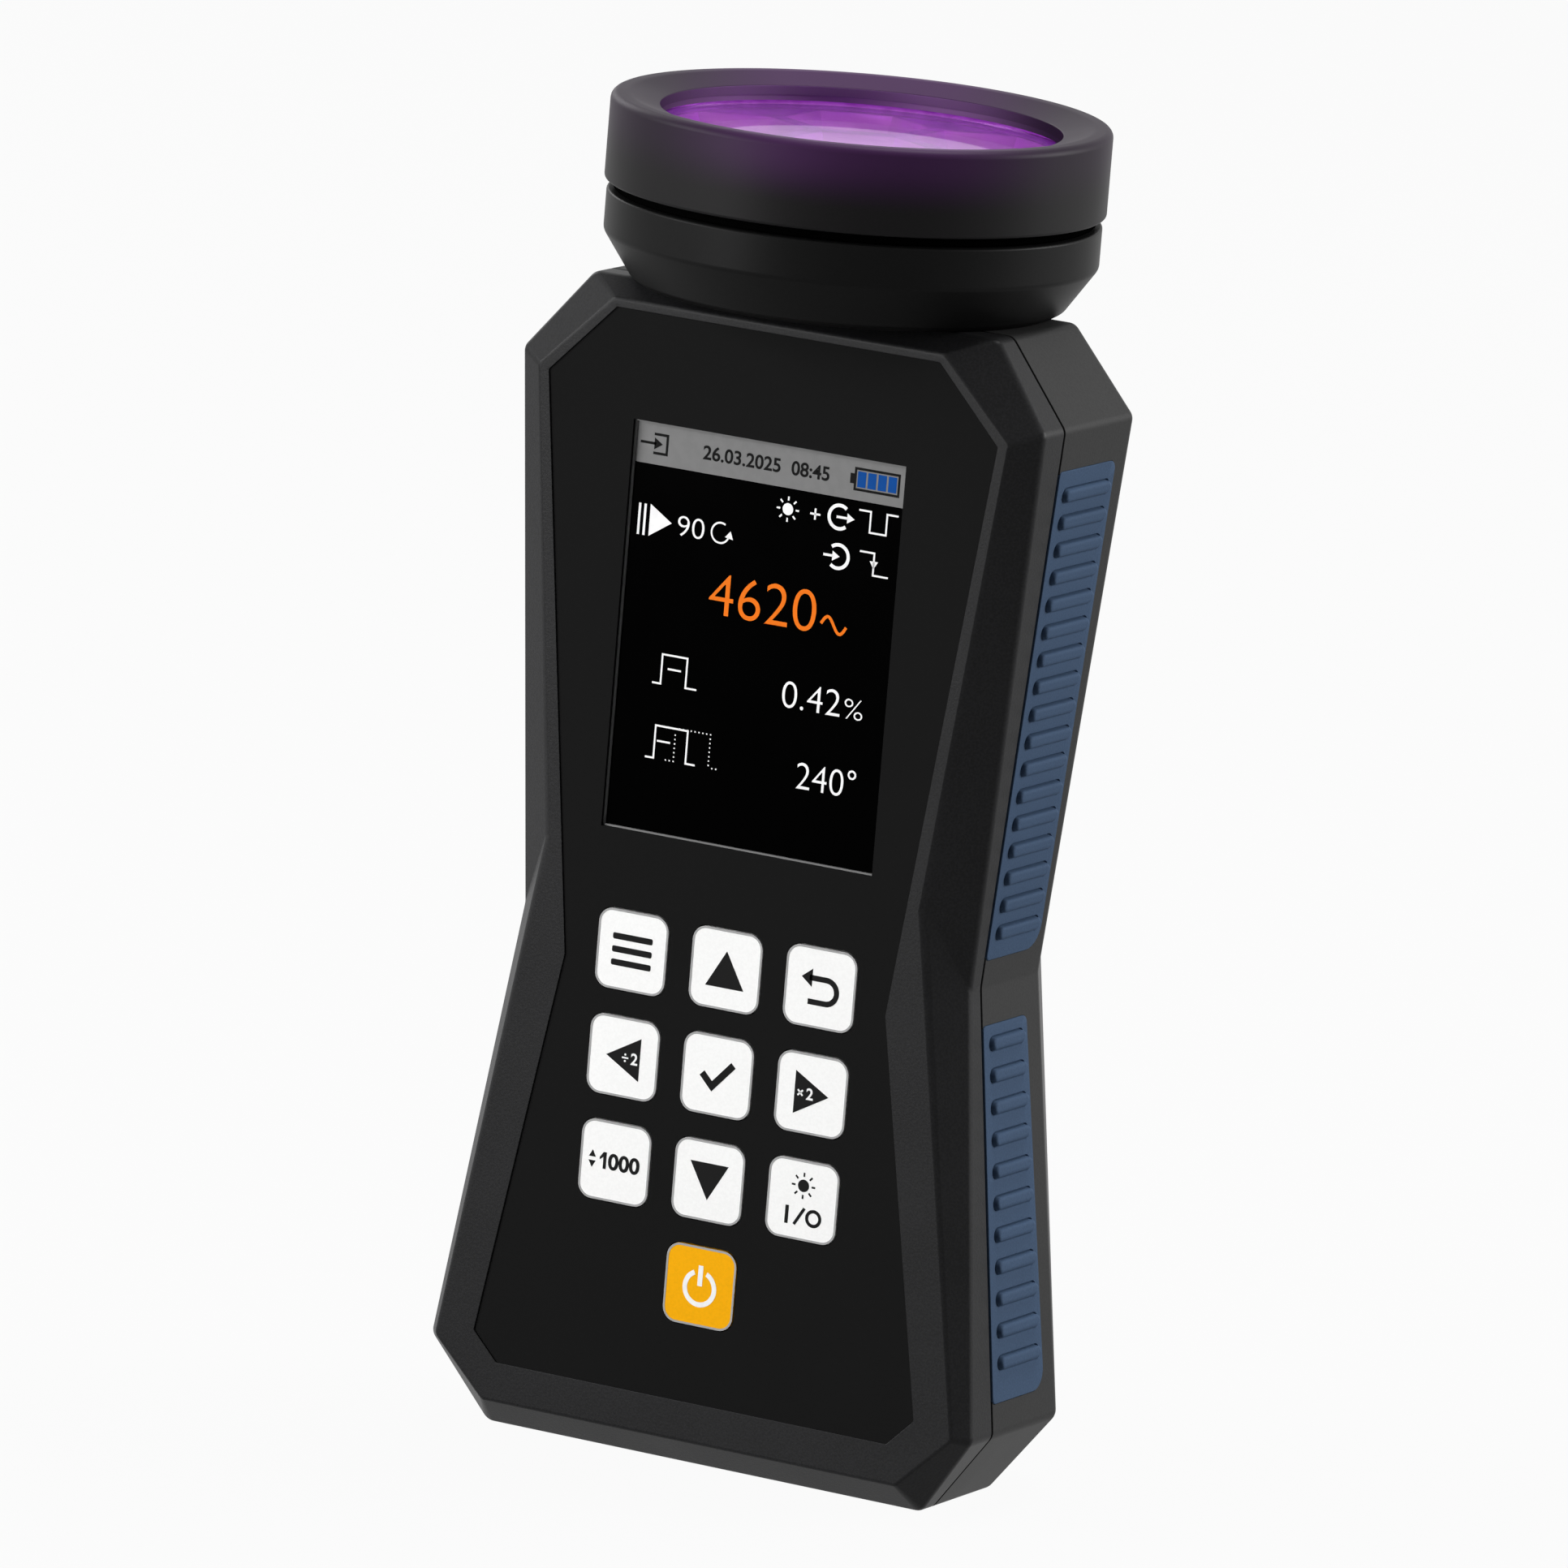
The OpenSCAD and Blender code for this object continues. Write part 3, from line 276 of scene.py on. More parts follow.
def glowing(name, dark, light, strength):
    material, graph = newGraph(name)
    patches = graph.ramp(graph.noise(glowLook["patch"], 1), *glowLook["spread"])
    shade = graph.blend(patches, srgb(dark), srgb(light))
    finishWith(graph, {"Base Color": shade, "Roughness": glowLook["rough"], "Emission Color": shade,
                       "Emission Strength": strength})
    return material


finish["violetGlass"] = violetGlass()
finish["litCup"] = litCup()
for name, tones in glows.items():
    finish[name] = glowing(name, *tones)
print("finishes made:", len(finish))

making = {"angle": 35, "merge": 0.0008, "near": 1e-5,  # sharp edges, points that become one
          "least": 0.02, "share": 0.45,  # shortest rounding, and its share of an edge
          "mitre": 0.3}  # keeps a pen's sharp corners short
facets = {"turned": 160, "wide": 96, "bore": 64, "hole": 48, "pin": 32, "mark": 24, "dot": 12, "arc": 26}


class Shape:  # points and faces of one piece, and which finish each face has
    def __init__(self):
        self.points = []
        self.faces = []
        self.finishes = []

    def add(self, points, faces, number=0):
        start = len(self.points)
        self.points += [Vector(p) for p in points]
        self.faces += [[start + i for i in face] for face in faces]
        self.finishes += [number] * len(faces)
        return self


def smooth(mesh, angle):
    mesh.shade_smooth()
    mesh.set_sharp_from_angle(angle=radians(angle))


def makeObject(name, shape, finishes=(), angle=making["angle"]):
    mesh = bpy.data.meshes.new(name)
    mesh.from_pydata([p * mm for p in shape.points], [], shape.faces)
    for one in finishes:
        mesh.materials.append(finish[one])
    mesh.polygons.foreach_set("material_index", shape.finishes)
    work = bmesh.new()
    work.from_mesh(mesh)
    bmesh.ops.remove_doubles(work, verts=work.verts, dist=making["merge"] * mm)
    bmesh.ops.recalc_face_normals(work, faces=work.faces)
    work.to_mesh(mesh)
    work.free()
    smooth(mesh, angle)
    made = bpy.data.objects.new(name, mesh)
    collection.objects.link(made)
    return made


def addPiece(name, shape, finishes, slot, body="housing", stands=(), angle=making["angle"],
             weighted=True):
    made = shape if isinstance(shape, bpy.types.Object) else makeObject(name, shape, finishes, angle)
    if weighted:
        made.modifiers.new("even normals", "WEIGHTED_NORMAL").keep_sharp = True
    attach(made, body)
    if stands:
        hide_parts(*stands)


def carve(target, shape, operation="DIFFERENCE"):  # cuts a shape away, or adds it
    cutter = makeObject("cutter", shape)
    change = target.modifiers.new("carve", "BOOLEAN")
    change.operation = operation
    change.solver = "EXACT"
    change.object = cutter
    bpy.context.view_layer.update()
    carved = bpy.data.meshes.new_from_object(target.evaluated_get(bpy.context.evaluated_depsgraph_get()))
    target.modifiers.clear()
    target.data = carved
    smooth(carved, making["angle"])
    bpy.data.objects.remove(cutter)


def loft(rings, startCap=True, endCap=True, loop=False):
    count = len(rings[0])
    faces = []
    for k in range(len(rings) - (0 if loop else 1)):
        a = k * count
        b = (k + 1) % len(rings) * count
        for i in range(count):
            j = (i + 1) % count
            faces.append([a + i, a + j, b + j, b + i])
    if startCap and not loop:
        faces.append(list(range(count)))
    if endCap and not loop:
        faces.append([(len(rings) - 1) * count + i for i in range(count)])
    return [p for ring in rings for p in ring], faces


def solid(rings, **caps):
    return Shape().add(*loft(rings, **caps))


def rounded(points, radii, steps=5, closed=True):  # corners turned into arcs, in space or flat
    count = len(points)
    path = []
    for i, here in enumerate(points):
        if radii[i] == 0 or not closed and i in (0, count - 1):
            path.append(here)
            continue
        back = points[i - 1] - here
        ahead = points[(i + 1) % count] - here
        turn = pi - back.angle(ahead)
        reach = radii[i] * tan(turn / 2)
        reach = min(reach, making["share"] * back.length, making["share"] * ahead.length)
        reach = max(making["least"], reach)
        start = here + back.normalized() * reach
        end = here + ahead.normalized() * reach
        weight = cos(turn / 2)
        for k in range(steps + 1):
            s = k / steps
            parts = ((1 - s) ** 2, 2 * s * (1 - s) * weight, s * s)
            path.append((start * parts[0] + here * parts[1] + end * parts[2]) / sum(parts))
    return path


def skin(stations, radii):  # rings through stations, with the depth path rounded too
    paths = []
    for i in range(len(stations[0])):
        paths.append(rounded([ring[i] for ring in stations], radii, closed=False))
    return [[path[k] for path in paths] for k in range(len(paths[0]))]


def circle(radius, count, x=0.0, y=0.0):
    angles = [2 * pi * i / count for i in range(count)]
    return [Vector((x + radius * cos(a), y + radius * sin(a))) for a in angles]


def level(outline, z):
    return [Vector((p.x, p.y, z)) for p in outline]


def upright(outline, heights):  # one flat outline at several heights
    return [level(outline, z) for z in heights]


def facing(outline, depths):  # one outline of the face at several depths behind it
    return [[Vector((p.x, d - axisDepth, p.y)) for p in outline] for d in depths]


def lathe(profile):  # turned solid about the lamp's axis, from radius and height
    return solid([level(circle(r, facets["turned"]), z) for r, z in profile], loop=True)


def inside(spot, loops):
    hit = False
    for loop in loops:
        for a, b in zip(loop, loop[1:] + loop[:1]):
            if (a[1] > spot[1]) != (b[1] > spot[1]):
                if spot[0] < a[0] + (spot[1] - a[1]) * (b[0] - a[0]) / (b[1] - a[1]):
                    hit = not hit
    return hit


def fillLoops(loops):  # triangles between flat outlines, holes left open
    points = [Vector((p[0], p[1])) for loop in loops for p in loop]
    edges = []
    start = 0
    for loop in loops:
        edges += [(start + i, start + (i + 1) % len(loop)) for i in range(len(loop))]
        start += len(loop)
    flat, _, faces, *_ = delaunay_2d_cdt(points, edges, [], 0, making["near"])
    kept = []
    for face in faces:
        middle = sum((flat[i] for i in face), Vector((0, 0))) / len(face)
        if inside(middle, loops):
            kept.append(list(face))
    return flat, kept


def thicken(shape, flat, faces, place, front, back, number):  # a flat drawing becomes a thin piece
    count = len(flat)
    uses = {}
    for face in faces:
        for a, b in zip(face, face[1:] + face[:1]):
            uses.setdefault((min(a, b), max(a, b)), []).append((a, b))
    made = [list(face) for face in faces]
    made += [[count + i for i in reversed(face)] for face in faces]
    made += [[b, a, a + count, b + count] for edge in uses.values() if len(edge) == 1 for a, b in edge]
    points = [place(p[0], p[1], front) for p in flat] + [place(p[0], p[1], back) for p in flat]
    shape.add(points, made, number)


def stroke(points, width, closed=False):  # outline of a line drawn with a pen of that width
    points = [Vector(p) for p in points]
    last = len(points) - 1
    left = []
    right = []
    for i, here in enumerate(points):
        before = points[i - 1] if i or closed else here - (points[1] - here)
        after = points[(i + 1) % len(points)] if i < last or closed else here + (here - points[i - 1])
        one = (here - before).normalized()
        two = (after - here).normalized()
        mitre = Vector((-one.y - two.y, one.x + two.x)).normalized()
        reach = width / 2 / max(making["mitre"], mitre.dot(Vector((-one.y, one.x))))
        left.append(here + mitre * reach)
        right.append(here - mitre * reach)
    return [left, right] if closed else [left + right[::-1]]


def arc(x, y, radius, start, end, count):
    angles = [radians(start + (end - start) * k / count) for k in range(count + 1)]
    return [Vector((x + radius * cos(a), y + radius * sin(a))) for a in angles]


def box(x, y, w, h):
    return [Vector((x - w / 2, y - h / 2)), Vector((x + w / 2, y - h / 2)),
            Vector((x + w / 2, y + h / 2)), Vector((x - w / 2, y + h / 2))]


def roundedBox(w, h, r, x=0.0, y=0.0, steps=8):
    return rounded(box(x, y, w, h), [r] * 4, steps)


def letters(text, height, bold):  # flat triangles of plain digits, centred, in Blender's own font
    curve = bpy.data.curves.new("digits", "FONT")
    curve.body = text
    curve.offset = bold
    probe = bpy.data.objects.new("digits", curve)
    collection.objects.link(probe)
    bpy.context.view_layer.update()
    mesh = bpy.data.meshes.new_from_object(probe.evaluated_get(bpy.context.evaluated_depsgraph_get()))
    work = bmesh.new()
    work.from_mesh(mesh)
    bmesh.ops.remove_doubles(work, verts=work.verts, dist=making["near"])
    points = [Vector((v.co.x, v.co.y)) for v in work.verts]
    work.verts.index_update()
    faces = [[v.index for v in face.verts] for face in work.faces]
    work.free()
    low = Vector((min(p.x for p in points), min(p.y for p in points)))
    high = Vector((max(p.x for p in points), max(p.y for p in points)))
    scale = height / (high.y - low.y)
    middle = (low + high) / 2
    bpy.data.objects.remove(probe)
    return [(p - middle) * scale for p in points], faces


class Sheet:  # thin drawings on one flat place: u to the right, v up
    def __init__(self, x, z, depth, thick):
        self.shape = Shape()
        self.tones = []
        self.centre = (x, z)
        self.lie(depth, thick)

    def lie(self, depth, thick):  # what is drawn next lies at this depth
        self.depths = (depth - thick, depth)

    def place(self, u, v, depth):
        return Vector((self.centre[0] + u, depth - axisDepth, self.centre[1] + v))

    def fill(self, flat, faces, tone, lift):
        if tone not in self.tones:
            self.tones.append(tone)
        front, back = self.depths
        thicken(self.shape, flat, faces, self.place, front - lift, back, self.tones.index(tone))

    def put(self, loops, tone, lift=0.0):
        self.fill(*fillLoops(loops), tone, lift)

    def digits(self, text, height, centre, width, bold, tone, lift):
        flat, faces = letters(text, height, bold)
        scale = width / (max(p.x for p in flat) - min(p.x for p in flat)) if width else 1
        self.fill([Vector((p.x * scale, p.y)) + Vector(centre) for p in flat], faces, tone, lift)


def arrowHead(tip, angle, length, width):
    turn = Matrix.Rotation(radians(angle), 2)
    corners = ((0, 0), (-length, width / 2), (-length, -width / 2))
    return [Vector(tip) + turn @ Vector(corner) for corner in corners]


lampMark = {"rays": 8, "from": 1.45, "to": 2.1, "pen": 0.3}  # in radii of its disc


def lampIcon(centre, radius):
    outlines = [circle(radius, facets["mark"], *centre)]
    for way in circle(radius, lampMark["rays"]):
        ends = [Vector(centre) + way * lampMark["from"], Vector(centre) + way * lampMark["to"]]
        outlines += stroke(ends, radius * lampMark["pen"])
    return outlines


def draw(sheet, drawing, lift=0.0):  # a drawing has tones, a tone kinds of marks, a kind its marks
    for tone, marks in drawing.items():
        for outline in marks.get("areas", ()):
            sheet.put([outline], tone, lift)
        for centre, size in marks.get("blocks", ()):
            sheet.put([box(*centre, *size)], tone, lift)
        for centre, outer, inner in marks.get("rings", ()):
            sheet.put([circle(r, facets["mark"], *centre) for r in (outer, inner)], tone, lift)
        for pen, points in marks.get("lines", ()):
            sheet.put(stroke(points, pen), tone, lift)
        for pen, points in marks.get("outlines", ()):
            sheet.put(stroke(points, pen, closed=True), tone, lift)
        for pen, centre, radius, start, end in marks.get("arcs", ()):
            path = arc(*centre, radius, start, end, facets["arc"])
            sheet.put(stroke(path, pen), tone, lift)
        for tip, angle, length, width in marks.get("arrows", ()):
            sheet.put([arrowHead(tip, angle, length, width)], tone, lift)
        for text, height, centre, width, bold in marks.get("digits", ()):
            sheet.digits(text, height, centre, width, bold, tone, lift)
        for centre, radius in marks.get("lamps", ()):
            for outline in lampIcon(centre, radius):
                sheet.put([outline], tone, lift)


axisDepth = 21.6  # the lamp's axis behind the face
# Body: half outlines from top to base as width and height, and depths behind the face
body = {
    "sides": [(36.2, 186.4), (46.7, 173.1), (40.3, 83.8), (49.1, 13.3), (39.5, 0)],
    "crease": [(29.4, 183.7), (42.1, 171.2), (33.7, 98.2), (46.9, 13.8), (37.6, 4.9)],
    "panel": [(28.8, 182.2), (40.1, 170.6), (28.9, 78.6), (39.9, 15.7), (35.4, 11.2)],
    "bevel": [4.9, 2.8, 6, 2.8, 6],
    "rear": [30, 32, 28.4, 30.6, 28],
    "rearIn": (8, 5),
    "parting": 9.6,
    "back": 44,
    "wall": 2.5,
    "panelFloor": 1.25,
    "ceiling": 3.75,
    "panelGap": 0.06,
    "cornerRadii": [2.0, 2.0, 4.0, 2.2, 2.0],
    "creaseRadius": 0.9,
    "edgeRadius": 1.5,
    "rearRadii": (2.2, 2.6),
    "grooveWide": 0.25,
    "grooveDeep": 0.45,
    "neck": 15.15,
    "neckRoom": (178, 188),  # heights between which the lamp's neck is cut out
    "lean": [1, 0.4, 0, -0.4, -1],  # how much of a draw-in goes into the height
    "fine": 0.12,  # rounding of the thin edges
    "grooveFloor": 0.18,
    "recessRadii": [0.6, 0.6, 1.5, 0.6, 0.6],
    "creaseRadii": [1.2, 1.2, 3.0, 1.4, 1.2],
    "wallCrease": 0.6,  # in wall thicknesses, as the next one
    "wallRear": 0.4,
    "rearMiddle": (7, 5),
    "displayRoom": {"centre": (0, 129.6), "size": (55.3, 78), "depths": (2.25, 8)},
    "windowSeat": {"centre": (0, 132.6), "size": (53.1, 69.3), "depths": (0.5, 2.5)},
}


def drawnIn(line, across, up):
    return [(x - across, z - up * k) for (x, z), k in zip(line, body["lean"])]


def ring(line, depths, radii=body["cornerRadii"]):
    if not isinstance(depths, (list, tuple)):
        depths = [depths] * len(line)
    half = [Vector((x, d - axisDepth, z)) for (x, z), d in zip(line, depths)]
    full = half + [Vector((-p.x, p.y, p.z)) for p in reversed(half)]
    return rounded(full, radii + radii[::-1])


def between(near, far, depth):  # the ring between two others at one depth
    made = []
    for a, b in zip(near, far):
        made.append(a + (b - a) * ((depth - axisDepth - a.y) / (b.y - a.y)))
    return made


def drum(x, z, steps, count=facets["pin"]):  # pin or bore along the depth, from depths and radii
    return loft([facing(circle(r, count, x, z), [d])[0] for d, r in steps])


def neckRings():
    return upright(circle(body["neck"], facets["wide"]), body["neckRoom"])


def roomRings(space):  # block cut out of the face
    return facing(box(*space["centre"], *space["size"]), space["depths"])


def groove(depth, rim):  # the parting groove of one shell, from its rim to the inside of the wall
    sides = body["sides"]
    floor = drawnIn(sides, body["grooveDeep"], body["grooveDeep"])
    return [ring(sides, rim), ring(floor, depth), ring(floor, body["parting"]),
            ring(drawnIn(sides, body["wall"], body["wall"]), body["parting"])]


def frontShell():
    wall = body["wall"]
    fine = body["fine"]
    lip = wall * body["wallCrease"]
    recess = [(x + body["panelGap"], z) for x, z in body["panel"]]
    creaseIn = ring(drawnIn(body["crease"], lip, lip), 0)
    edgeIn = ring(drawnIn(body["sides"], wall, wall), [d + lip for d in body["bevel"]])
    stations = [ring(recess, depth, body["recessRadii"]) for depth in (body["panelFloor"], 0)]
    stations += [ring(body["crease"], 0, body["creaseRadii"]), ring(body["sides"], body["bevel"])]
    stations += groove(body["parting"] - body["grooveFloor"], body["parting"] - body["grooveWide"])
    stations += [edgeIn, between(creaseIn, edgeIn, body["ceiling"])]
    radii = [0, fine, body["creaseRadius"], body["edgeRadius"], fine, 0, 0, 0, 0, 0]
    shell = makeObject("frontShell", solid(skin(stations, radii)), ["frontShell"])
    carve(shell, keypadCutter())
    carve(shell, solid(roomRings(body["displayRoom"])))
    carve(shell, solid(neckRings()))
    addPiece("frontShell", shell, None, "front_shell", stands=["front_housing"])


keypad = {"pitch": 17.0, "top": 81.0, "width": 12.6, "height": 12.8, "radius": 2.4, "gap": 0.2,
          "face": 0.15, "thick": 0.03, "raised": 0.02, "outline": 0.34, "room": (0.5, 5)}
keyNames = ["menu", "up", "back", "left", "ok", "right", "thousand", "down", "light"]
keyPlaces = {"key_" + name: (i % 3 - 1, i // 3) for i, name in enumerate(keyNames)}
keyPlaces["key_power"] = (0, 3)


def keySpot(name):
    column, row = keyPlaces[name]
    return column * keypad["pitch"], keypad["top"] - row * keypad["pitch"]


def keypadCutter():
    shape = Shape()
    gap = keypad["gap"]
    for name in keyPlaces:
        hole = roundedBox(keypad["width"] + 2 * gap, keypad["height"] + 2 * gap, keypad["radius"] + gap,
                          *keySpot(name))
        shape.add(*loft(facing(hole, keypad["room"])))
    shape.add(*loft(roomRings(body["windowSeat"])))
    return shape


# Depths from the face, and for screws and tripod thread how deep they lie in the back
screws = {"places": [(34.6, 158), (35.6, 26)], "post": 3.5, "shank": 1.65, "head": 2.95, "from": 5,
          "sunk": 4}
tripod = {"z": 97.5, "post": 7.5, "radius": 5.5, "postDeep": 11, "deep": 9, "slip": 0.05, "proud": 0.15,
          "chamfer": 0.2, "root": 3.175, "crest": 2.6, "mouth": 0.35, "lead": 0.3, "pitch": 1.27,
          "turns": 48, "perTurn": 10, "runOut": 6, "steep": 2.4, "flat": 0.1}
past = {"back": 2, "base": (-2, 4), "inside": 1}  # how far a cutter or post reaches past a surface
sockets = {"x": 20, "jackDepth": 16.3, "usbDepth": 12.4, "collar": 4.15, "wide": 9.3, "high": 3.5,
           "usbRadius": 1.73}
jackY = sockets["jackDepth"] - axisDepth
usbY = sockets["usbDepth"] - axisDepth


def rearShell():
    wall = body["wall"]
    sides = body["sides"]
    parting = body["parting"]
    back = drawnIn(sides, *body["rearIn"])
    sideIn = ring(drawnIn(sides, wall, wall), [d - wall * body["wallRear"] for d in body["rear"]])
    backIn = ring(drawnIn(back, wall, wall), body["back"])
    stations = [ring(drawnIn(back, *body["rearMiddle"]), body["back"]), ring(back, body["back"]),
                ring(sides, body["rear"])]
    stations += groove(parting + body["grooveFloor"], parting + body["grooveWide"])
    stations += [sideIn, between(sideIn, backIn, body["back"] - wall)]
    radii = [0, body["rearRadii"][1], body["rearRadii"][0], body["fine"], 0, 0, 0, 0, 0]
    shell = makeObject("rearShell", solid(skin(stations, radii)), ["rearShell"])
    posts = Shape()
    holes = Shape()
    postEnd = body["back"] - past["inside"]
    sunk = body["back"] - screws["sunk"]
    outside = body["back"] + past["back"]
    for x, z in screws["places"]:
        for side in (-1, 1):
            posts.add(*drum(side * x, z, [(parting, screws["post"]), (postEnd, screws["post"])]))
            holes.add(*drum(side * x, z, [(screws["from"], screws["shank"]), (sunk, screws["shank"]),
                                          (sunk, screws["head"]), (outside, screws["head"])]))
    posts.add(*drum(0, tripod["z"], [(body["back"] - tripod["postDeep"], tripod["post"]),
                                     (postEnd, tripod["post"])]))
    holes.add(*drum(0, tripod["z"], [(body["back"] - tripod["deep"], tripod["radius"]),
                                     (outside, tripod["radius"])], facets["bore"]))
    carve(shell, posts, "UNION")
    carve(shell, holes)
    mouths = Shape()
    for side in (-1, 1):
        hole = circle(sockets["collar"], facets["hole"], side * sockets["x"], jackY)
        mouths.add(*loft(upright(hole, past["base"])))
    hole = roundedBox(sockets["wide"], sockets["high"], sockets["usbRadius"], 0, usbY)
    mouths.add(*loft(upright(hole, past["base"])))
    mouths.add(*loft(neckRings()))
    carve(shell, mouths)
    for grip in grips.values():
        for side in (-1, 1):
            pocket = gripOutline(grip, gripShape["gap"])
            cut = [[wallPlace(grip, side, p.x, p.y, w) for p in pocket] for w in gripShape["pocket"]]
            carve(shell, solid(cut))
    addPiece("rearShell", shell, None, "rear_shell", stands=["rear_housing"])


def tripodInsert():  # flanged brass with its quarter-inch thread
    turns = tripod["turns"]
    low = body["back"] - tripod["deep"]
    top = body["back"] - tripod["proud"]
    outer = tripod["radius"] - tripod["slip"]
    steps = round((top - low) / tripod["pitch"] * tripod["perTurn"])
    rings = []
    for d, r in ((low, tripod["root"]), (low, outer), (top - tripod["chamfer"], outer),
                 (top, outer - tripod["chamfer"]), (top, tripod["root"] + tripod["mouth"])):
        rings.append([Vector((p.x, d - axisDepth, tripod["z"] + p.y)) for p in circle(r, turns)])
    for k in range(steps + 1):
        d = top - tripod["lead"] - (top - low - tripod["lead"]) * k / steps
        fading = min(1, (steps - k) / tripod["runOut"], (k + 1) / tripod["runOut"])
        loop = []
        for i in range(turns):
            phase = (d / tripod["pitch"] + i / turns) % 1
            height = tripod["steep"] * (0.5 - abs(phase - 0.5)) - tripod["flat"]
            height = max(0, min(1, height)) * fading
            r = tripod["root"] - (tripod["root"] - tripod["crest"]) * height
            a = 2 * pi * i / turns
            loop.append(Vector((r * cos(a), d - axisDepth, tripod["z"] + r * sin(a))))
        rings.append(loop)
    insert = solid(rings, loop=True)
    addPiece("tripodInsert", insert, ["brass"], "insert", stands=["tripod_insert"])


jackRing = [(1.8, 0.6), (1.8, 0.15), (1.95, 0.05), (2.45, 0.05), (2.55, 0.15), (2.55, 0.6)]


def jackRings():  # plated mouths of the two trigger jacks
    for name, side in (("triggerInRing", -1), ("triggerOutRing", 1)):
        rings = [level(circle(r, facets["hole"], side * sockets["x"], jackY), z) for r, z in jackRing]
        addPiece(name, solid(rings, loop=True), ["plated"], "socket_metal")


# Grips: places along the tilted side wall, from the waist, as depth and height on the wall
grips = {
    "upper": {"tilt": atan2(12.8, 178.6), "low": 4.3, "high": 82.9, "backLow": 26.8,
              "backHigh": 28.2, "cutLow": 4.0, "cutHigh": 1.6, "ribs": 17, "pitch": 4.4, "first": 78.9,
              "tail": 1.6},
    "lower": {"tilt": -atan2(17.6, 141), "low": -66.0, "high": -6.2, "backLow": 26.6,
              "backHigh": 24.0, "cutLow": 3.4, "cutHigh": 1.2, "ribs": 11, "pitch": 5.05, "first": -9.3,
              "tail": 1.4},
}
gripShape = {"front": 9.8, "ribFront": 11.8, "ribHalf": 1.05, "field": 0.15, "corner": 0.8, "steps": 7,
             "rim": [(0, -1.4), (0, 0.01), (-0.04, 0.11), (-0.14, 0.15)],  # growth and height
             "gap": 0.06, "pocket": (-1.4, 2), "ribStep": 15, "turnFrom": 0.25, "turnOver": 0.6}
# Rib flanks as outward offset and height: steep with a fine groove above and in front, soft below
steepFlank = [(0.30, 0.15), (0.20, -0.12), (0.05, -0.18), (0.0, 0.10), (-0.05, 0.60), (-0.20, 0.83),
              (-0.42, 0.92), (-0.7, 0.95)]
softFlank = [(0.48, 0.15), (0.34, 0.18), (0.16, 0.29), (0.0, 0.44), (-0.15, 0.62), (-0.32, 0.79),
             (-0.52, 0.90), (-0.75, 0.95)]


def gripOutline(grip, grow):
    front = gripShape["front"] - grow
    low = grip["low"] - grow
    high = grip["high"] + grow
    corners = [Vector((front, low)), Vector((grip["backLow"] + grow, low)),
               Vector((grip["backHigh"] + grow, high)), Vector((front, high))]
    radii = [gripShape["corner"], grip["cutLow"] + grow, grip["cutHigh"] + grow, gripShape["corner"]]
    return rounded(corners, radii, gripShape["steps"])


def wallPlace(grip, side, u, v, w):  # depth, height on the wall and height over it
    tilt = grip["tilt"]
    x = body["sides"][2][0] + w * cos(tilt) + v * sin(tilt)
    z = body["sides"][2][1] - w * sin(tilt) + v * cos(tilt)
    return Vector((side * x, u - axisDepth, z))


def ribRings(low, high, middle):
    half = gripShape["ribHalf"]
    step = gripShape["ribStep"]
    ends = [(high - half, a) for a in range(-90, 91, step)]
    ends += [(low + half, a) for a in range(90, 271, step)]
    rings = []
    for steep, soft in zip(steepFlank, softFlank):
        loop = []
        for u, angle in ends:
            out = Vector((cos(radians(angle)), sin(radians(angle))))
            share = (max(out.y, -out.x) + gripShape["turnFrom"]) / gripShape["turnOver"]
            share = min(1, max(0, share))
            share = share * share * (3 - 2 * share)
            offset = soft[0] + (steep[0] - soft[0]) * share
            lift = soft[1] + (steep[1] - soft[1]) * share
            spot = Vector((u, middle)) + out * (half + offset)
            loop.append((spot.x, spot.y, lift))
        rings.append(loop)
    return rings


def gripPiece(name, grip, side):
    outlines = [(gripOutline(grip, grow), w) for grow, w in gripShape["rim"]]
    rings = [[wallPlace(grip, side, p.x, p.y, w) for p in outline] for outline, w in outlines]
    shape = solid(rings, endCap=False)
    holes = []
    for i in range(grip["ribs"]):
        middle = grip["first"] - i * grip["pitch"]
        back = grip["backHigh"] + (grip["backLow"] - grip["backHigh"]) * i / grip["ribs"]
        ribs = ribRings(gripShape["ribFront"], back - grip["tail"], middle)
        shape.add(*loft([[wallPlace(grip, side, *p) for p in loop] for loop in ribs], startCap=False))
        holes.append([Vector((p[0], p[1])) for p in ribs[0]])
    flat, faces = fillLoops([outlines[-1][0]] + holes)
    shape.add([wallPlace(grip, side, p.x, p.y, gripShape["field"]) for p in flat], faces)
    addPiece(name, shape, ["gripRubber"], "grip", stands=[name], angle=50)


def gripPieces():
    for row, grip in grips.items():
        for word, side in (("left", -1), ("right", 1)):
            gripPiece("grip_" + row + "_" + word, grip, side)


# Lamp head: radius, height and rounding of each corner
head = {"bowl": [(12.5, 179.4, 0), (15, 179.4, 0.4), (15, 186.4, 0), (33.0, 186.4, 1.2),
                 (34.3, 187.2, 1.6), (38.9, 194.0, 1.6), (38.9, 200.5, 0.45), (36.2, 200.5, 0),
                 (36.2, 195, 0), (33.45, 192, 0), (33.45, 191, 0), (12.5, 191, 0)],
        "bumper": [(37.4, 202.05, 0), (39.4, 202.05, 0.5), (39.4, 207, 0), (39.4, 215.74, 2.9),
                   (36.6, 215.74, 3.0), (31.6, 214.15, 0.25), (31.6, 212.6, 0), (37.4, 212.6, 0)],
        "seal": [(36.8, 200.55, 0.3), (37.9, 200.55, 0.5), (37.9, 202.0, 0.5), (36.8, 202.0, 0.3)],
        "opening": (31.7, 214.1)}  # the wall inside the bumper lies within this radius and height
